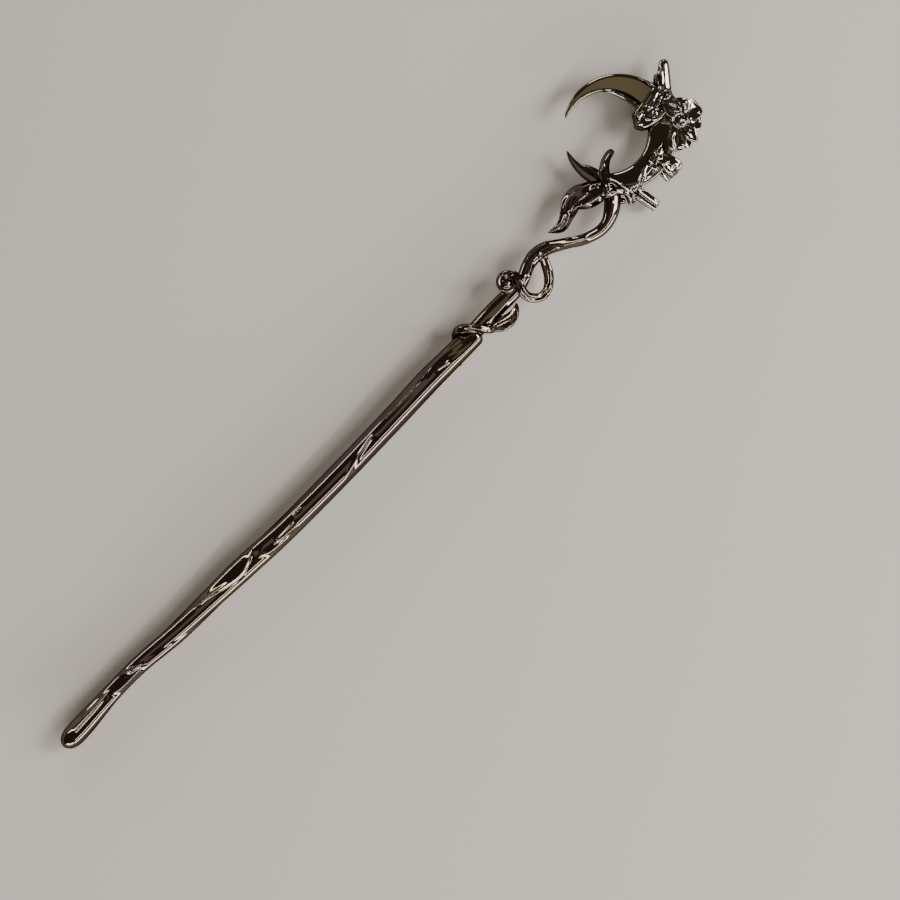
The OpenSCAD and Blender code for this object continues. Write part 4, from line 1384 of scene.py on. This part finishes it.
@dataclass
class Blossom(Moon):
    """The blossom on the crescent's outer edge, and the spike leaves at the head's end."""

    name: str = "blossom"
    grain: float = 0.085
    polish: int = 5
    rub: int = 2

    # Turn, share of petal_len, share of petal_w, pitch at the root, curl to the tip, cup of the
    # edges; the first petal is the pointed one
    PETALS = (
        (-96, 1.1, 0.86, 12, -36, 0.15), (-116, 1.08, 0.8, 0, -24, 0.35), (-141, 1.16, 1.1, 6, -28, 0.35),
        (-50, 0.84, 1.1, 4, -30, 0.45), (-8, 0.92, 1.2, 20, -54, 0.5), (36, 0.84, 1, 6, -30, 0.35),
        (76, 0.98, 1, 18, -38, 0.3), (118, 0.92, 0.96, 4, -26, 0.3),
    )
    INNER_PETALS = (
        (-24, 0.46, 0.76, 26, 44, 0.5), (66, 0.42, 0.7, 34, 40, 0.5), (152, 0.46, 0.76, 26, 44, 0.5),
        (248, 0.44, 0.7, 34, 40, 0.5),
    )
    # The sepals' turns, then their share of petal_len, share of petal_w, pitch and curl
    SEPAL_TURNS = (-120, -40, 40)
    SEPAL = (0.8, 0.7, -18, 26)
    # The foot's reach into the crescent (share of moon_t), the bud's height (share of bloom_up), and the
    # radii of each (shares of petal_w)
    FOOT_DEPTH, FOOT_RADII = 0.4, (0.5, 0.6)
    BUD_HEIGHT, BUD_RADII = 0.5, (0.4, 0.24)
    # The spike leaf's shift from its root, in millimetres, and its shares of spike_len, spike_w and leaf_t
    SPIKE_SHIFT, SPIKE = (-0.4, 0.2, 0), (1.06, 1.22, 1.2)
    # The small leaf's shift (shares of moon_r and moon_t), turn, and shares of spike_len and spike_w
    BESIDE_SHIFT, BESIDE = (-0.04, 0.13, 0.1), (8, 0.5, 0.76)
    # The radii of the neck that carries both (shares of spike_w and petal_w)
    SPIKE_NECK = (0.5, 0.44)

    def forms(self) -> Iterator[Form]:
        """Grow the petals, the sepals, the blossom's foot and bud, and the spike leaves.

        Yields:
            Each form in turn.
        """
        size, at, petal_w = self.sizes, self.sizes.bloom_at, self.sizes.petal_w
        for j, (turn, length, width, pitch, curl, cup) in enumerate(self.PETALS + self.INNER_PETALS):
            outline = Outline.PETAL if j else Outline.POINTED
            yield Leaf(
                at, turn, size.petal_len * length, petal_w * width, size.petal_t, outline,
                pitch=pitch, curl=curl, crease=0.4, cup=cup,
            ).limb(steps=34, sides=32)
        long, broad, pitch, curl = self.SEPAL
        low = at - Vector((0, 0, size.bloom_up))
        for turn in self.SEPAL_TURNS:
            yield Leaf(
                low, turn, long * size.petal_len, broad * petal_w, size.petal_t, pitch=pitch, curl=curl
            ).limb(steps=30)
        foot, bud = -size.bloom_up - self.FOOT_DEPTH * size.moon_t, self.BUD_HEIGHT * size.bloom_up
        for rise, (near, far) in ((foot, self.FOOT_RADII), (bud, self.BUD_RADII)):
            yield Drop(at, at + Vector((0, 0, rise)), near * petal_w, far * petal_w)
        yield from self._spikes()

    def _spikes(self) -> Iterator[Form]:
        """Grow the spike leaf, the small leaf beside it and the neck that carries them.

        Yields:
            Each form in turn.
        """
        size, root = self.sizes, self.sizes.spike_root
        long, broad, thick = self.SPIKE
        yield Leaf(
            root + Vector(self.SPIKE_SHIFT), size.spike_turn, long * size.spike_len, broad * size.spike_w,
            thick * size.leaf_t, Outline.BLUNT, pitch=4, curl=-8, crease=-0.1,
        ).limb(steps=40, sides=32)
        along, across, high = self.BESIDE_SHIFT
        beside = root + Vector((along * size.moon_r, across * size.moon_r, high * size.moon_t))
        turn, long, broad = self.BESIDE
        yield Leaf(
            beside, size.spike_turn + turn, long * size.spike_len, broad * size.spike_w, size.leaf_t,
            Outline.BLUNT,
        ).limb(steps=30, sides=28)
        near, far = self.SPIKE_NECK
        yield Drop(root, size.bloom_at, near * size.spike_w, far * size.petal_w)


def feed(node: Node, inputs: Inputs) -> None:
    """Set or link some of a shader node's inputs.

    Args:
        node: The node.
        inputs: The value of each input, or the socket that feeds it.
    """
    for label, given in inputs.items():
        if isinstance(given, NodeSocket):
            node.id_data.links.new(given, node.inputs[label])
        else:
            node.inputs[label].default_value = given


def add_node(tree: NodeTree, kind: str, inputs: Inputs, **settings: object) -> Node:
    """Add a shader node.

    Args:
        tree: The tree that it goes into.
        kind: Its type, without the word ShaderNode.
        inputs: What its inputs are set or linked to.
        settings: Its properties, which are set first.

    Returns:
        The node.
    """
    node = tree.nodes.new(f"ShaderNode{kind}")
    for name, setting in settings.items():
        setattr(node, name, setting)
    feed(node, inputs)
    return node


class Effects:
    """Node groups that the finishes share, built once."""

    def __init__(self) -> None:
        """Build the groups."""
        self.drift = self._plating_drift()
        self.wear_and_highlight = self._ridge_and_groove_masks()
        self.ripple = self._casting_ripple()

    @staticmethod
    def _group(name: str, given: dict[str, float], results: tuple[str, ...]) -> tuple[NodeTree, Node, Node]:
        """Start a group with named sockets.

        Args:
            name: The group's name.
            given: Name and default of each number that goes in.
            results: Name of each number that comes out.

        Returns:
            The group, its input node and its output node.
        """
        tree = bpy.data.node_groups.new(name, "ShaderNodeTree")
        for label, default in given.items():
            socket = tree.interface.new_socket(label, in_out="INPUT", socket_type="NodeSocketFloat")
            socket.default_value = default
        for label in results:
            tree.interface.new_socket(label, in_out="OUTPUT", socket_type="NodeSocketFloat")
        return tree, tree.nodes.new("NodeGroupInput"), tree.nodes.new("NodeGroupOutput")

    def _plating_drift(self) -> NodeTree:
        """Slow drifts of tint over the plating.

        Returns:
            The group of two masks, each from 0 to 1.
        """
        tree, given, out = self._group("plating_drift", {"Scale": 60.0}, ("First", "Second"))
        place, scale = add_node(tree, "TexCoord", {}).outputs["Object"], given.outputs["Scale"]
        for label, shift in (("First", 0.0), ("Second", 0.31)):
            spot = add_node(tree, "Mapping", {"Vector": place, "Location": (shift, shift, shift)}).outputs[0]
            noise = add_node(tree, "TexNoise", {"Vector": spot, "Scale": scale, "Detail": 2.0}).outputs["Fac"]
            spread = add_node(tree, "MapRange", {"Value": noise, "From Min": 0.4, "From Max": 0.62})
            feed(out, {label: spread.outputs["Result"]})
        return tree

    def _ridge_and_groove_masks(self) -> NodeTree:
        """Masks for paler ridges, part abrasion and part painted highlight, and for darker grooves.

        Returns:
            The group of the two masks, which are full 0.3 of the relief beyond their thresholds.
        """
        tree, given, out = self._group("ridge_and_groove_masks", {"Ridge": 0.66, "Groove": 0.36}, ("Wear And Highlight", "Groove Dark"))
        relief = add_node(tree, "Attribute", {}, attribute_name="relief").outputs["Fac"]
        for label, source, span in (("Wear And Highlight", "Ridge", 0.3), ("Groove Dark", "Groove", -0.3)):
            near = given.outputs[source]
            far = add_node(tree, "Math", {0: near, 1: span}, operation="ADD").outputs[0]
            ramp = add_node(tree, "MapRange", {"Value": relief, "From Min": near, "From Max": far})
            feed(out, {label: ramp.outputs["Result"]})
        return tree

    def _casting_ripple(self) -> NodeTree:
        """Low waves left by the casting under the polish, and fine polishing haze.

        Returns:
            The group of the waves' height and the haze.
        """
        tree, given, out = self._group("casting_ripple", {"Scale": 180.0, "Haze": 420.0}, ("Height", "Haze"))
        place = add_node(tree, "TexCoord", {}).outputs["Object"]
        for label, source, detail in (("Height", "Scale", 1.0), ("Haze", "Haze", 4.0)):
            scale = given.outputs[source]
            noise = add_node(tree, "TexNoise", {"Vector": place, "Scale": scale, "Detail": detail})
            feed(out, {label: noise.outputs["Fac"]})
        return tree


@dataclass(frozen=True)
class Plating:
    """A polished dark plating over cast metal.

    Attributes:
        name: The material's name.
        body: Its main tint.
        warm: The tint that it drifts to first.
        cool: The tint that it drifts to second.
        wear_and_highlight_tint: The paler tint on the ridges: metal bared by rubbing, and partly a painted
            highlight.
        groove_dark: The darker tint in the grooves.
        rim: The tint of what it mirrors at grazing angles.
        smooth: Roughness where it is clean.
        hazy: Roughness where it is hazy.
        wear_and_highlight: How much of the paler ridge tint shows, as abrasion and as painted highlight.
        ripple: Height of the casting's waves, in metres.
    """

    name: str
    body: Colour = (0.118, 0.096, 0.084)
    warm: Colour = (0.135, 0.116, 0.082)
    cool: Colour = (0.112, 0.088, 0.086)
    wear_and_highlight_tint: Colour = (0.52, 0.49, 0.45)
    groove_dark: Colour = (0.02, 0.018, 0.018)
    rim: Colour = (0.30, 0.27, 0.26)
    smooth: float = 0.06
    hazy: float = 0.11
    wear_and_highlight: float = 0.12
    ripple: float = 0.000006

    def material(self, effects: Effects) -> Material:
        """Build the plating's material.

        Args:
            effects: The shared node groups.

        Returns:
            The material.
        """
        made = bpy.data.materials.new(self.name)
        made.use_nodes = True
        tree = made.node_tree
        drift, wear_and_highlight, ripple = (
            add_node(tree, "Group", {}, node_tree=group).outputs
            for group in (effects.drift, effects.wear_and_highlight, effects.ripple)
        )
        # Paler ridges: part abrasion, part painted highlight that makes the crests look lit.
        wear_and_highlight_mask = add_node(tree, "Math", {0: wear_and_highlight["Wear And Highlight"], 1: self.wear_and_highlight}, operation="MULTIPLY").outputs[0]
        tint = (*self.body, 1)
        for over, mask in (
            (self.warm, drift["First"]), (self.cool, drift["Second"]), (self.wear_and_highlight_tint, wear_and_highlight_mask),
            (self.groove_dark, wear_and_highlight["Groove Dark"]),
        ):
            mix = add_node(tree, "Mix", {"A": tint, "B": (*over, 1), "Factor": mask}, data_type="RGBA")
            tint = mix.outputs["Result"]
        haze = {"Value": ripple["Haze"], "To Min": self.smooth, "To Max": self.hazy}
        waves = {"Height": ripple["Height"], "Strength": 1.0, "Distance": self.ripple}
        feed(tree.nodes["Principled BSDF"], {
            "Metallic": 1.0, "Base Color": tint, "Specular Tint": (*self.rim, 1),
            "Roughness": add_node(tree, "MapRange", haze).outputs["Result"],
            "Normal": add_node(tree, "Bump", waves).outputs["Normal"],
        })
        return made


@dataclass(frozen=True)
class Panel:
    """A soft rectangular light.

    Attributes:
        name: Its name.
        at: Where it stands, in metres.
        size: Its length and breadth, in metres.
        power: Its power, in watts.
        colour: Its colour.
    """

    name: str
    at: tuple[float, float, float]
    size: Pair
    power: float
    colour: Colour

    def build(self) -> None:
        """Make the light and aim it at the piece."""
        light = bpy.data.lights.new(self.name, "AREA")
        light.shape = "RECTANGLE"
        light.size, light.size_y = self.size
        light.energy = self.power
        light.color = self.colour
        lamp = put_in_scene(self.name, light)
        lamp.location = self.at
        lamp.rotation_euler = (-Vector(self.at)).to_track_quat("-Z", "Y").to_euler()


@dataclass
class Studio:
    """The floor, the lights and the camera.

    Attributes:
        middle: The middle of the camera's view on the floor, in metres.
        focus_height: Height at which the view has its width, in metres.
        view_width: The width of the view there.
        turn: The camera's turn about its axis, in degrees.
        lens: Its focal length, in millimetres.
        sensor: The width of its sensor, in millimetres.
        floor_half: Half the floor's breadth, in metres.
        floor_tint: The floor's colour.
        floor_rough: The floor's roughness.
        room_tint: The colour of the room's even light.
        room_power: The strength of that light.
        lights: The panels round the piece.
    """

    middle: Pair = (0.00527, -0.01743)
    focus_height: float = 0.003
    view_width: float = 0.1726
    turn: float = -45.5
    lens: float = 120.0
    sensor: float = 36.0
    floor_half: float = 3.0
    floor_tint: Colour = (0.445, 0.419, 0.392)
    floor_rough: float = 0.9
    room_tint: Colour = (0.92, 0.74, 0.60)
    room_power: float = 0.12
    lights: tuple[Panel, ...] = (
        Panel("key", (0.06, -0.62, 0.54), (1.00, 0.06), 2.9, (1.0, 0.96, 0.90)),
        Panel("low", (0.00, -0.85, 0.18), (1.10, 0.18), 11.0, (1.0, 0.96, 0.91)),
        Panel("rim", (-0.17, 0.80, 0.16), (0.38, 0.07), 1.5, (1.0, 0.97, 0.93)),
        Panel("crown", (0.42, 0.66, 0.28), (0.32, 0.14), 2.6, (1.0, 0.97, 0.93)),
        Panel("end", (0.54, -0.38, 0.40), (0.34, 0.34), 7.4, (1.0, 0.97, 0.93)),
        Panel("tail", (-0.64, -0.36, 0.20), (0.60, 0.18), 4.9, (1.0, 0.97, 0.94)),
        Panel("over", (0.00, 0.10, 1.30), (1.00, 0.70), 1.1, (1.0, 0.88, 0.66)),
    )

    def build(self) -> None:
        """Set up the studio."""
        self._floor()
        self._world()
        for panel in self.lights:
            panel.build()
        self._camera()

    def _floor(self) -> None:
        """Lay a plain pale floor."""
        plane = bmesh.new()
        bmesh.ops.create_grid(plane, x_segments=1, y_segments=1, size=self.floor_half)
        mesh = bpy.data.meshes.new("floor")
        plane.to_mesh(mesh)
        plane.free()
        floor = put_in_scene("floor", mesh)
        paint = bpy.data.materials.new("floor_paint")
        paint.use_nodes = True
        coat = {"Base Color": (*self.floor_tint, 1), "Roughness": self.floor_rough}
        feed(paint.node_tree.nodes["Principled BSDF"], coat)
        mesh.materials.append(paint)
        floor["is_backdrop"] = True

    def _world(self) -> None:
        """Fill the room with dim, even light."""
        world = bpy.data.worlds.new("room")
        world.use_nodes = True
        air = {"Color": (*self.room_tint, 1), "Strength": self.room_power}
        feed(world.node_tree.nodes["Background"], air)
        bpy.context.scene.world = world

    def _camera(self) -> None:
        """Hang the camera straight above the piece, turned as in the photo."""
        lens = bpy.data.cameras.new("camera")
        lens.lens, lens.sensor_width = self.lens, self.sensor
        camera = put_in_scene("camera", lens)
        camera.location = (*self.middle, self.focus_height + self.view_width * self.lens / self.sensor)
        camera.rotation_euler = (0, 0, math.radians(self.turn))
        bpy.context.scene.camera = camera


def write_sizes() -> None:
    """Work out the CAD model's box and the visual model's box, in metres, without keeping them."""
    boxes = {"cad": cad_box, "visual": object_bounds()}
    {name: [list(corner) for corner in box] for name, box in boxes.items()}


def main() -> None:
    """Set up the studio, then build and dress each sub-assembly."""
    logging.basicConfig(level=logging.INFO, format="%(name)s: %(message)s")
    Studio().build()
    effects = Effects()
    gunmetal = Plating("gunmetal").material(effects)
    # A paler copy of the gunmetal for the head's pieces: painted highlight, making them look more strongly
    # lit, with more of the paler ridge tint.
    lit_copy = Plating(
        "painted_highlight_gunmetal", body=(0.172, 0.152, 0.138), warm=(0.190, 0.168, 0.134), cool=(0.162, 0.140, 0.136),
        wear_and_highlight=0.30,
    ).material(effects)
    # The crescent's greenish-gold tint is a painted reflection: the warm sheen that its plain gunmetal face
    # would mirror, put into its colour.
    painted_sheen = Plating(
        "painted_olive_sheen", body=(0.16, 0.145, 0.10), warm=(0.19, 0.168, 0.105), cool=(0.13, 0.115, 0.10)
    ).material(effects)
    for casting, finish in (
        (Shaft(), gunmetal), (Neck(), gunmetal), (Crescent(), painted_sheen), (Vines(), gunmetal),
        (EdgeLeaves(), lit_copy), (Wrap(), lit_copy), (Blossom(), lit_copy),
    ):
        casting.dress(casting.build(), finish)
    write_sizes()


if __name__ == "__main__":
    main()
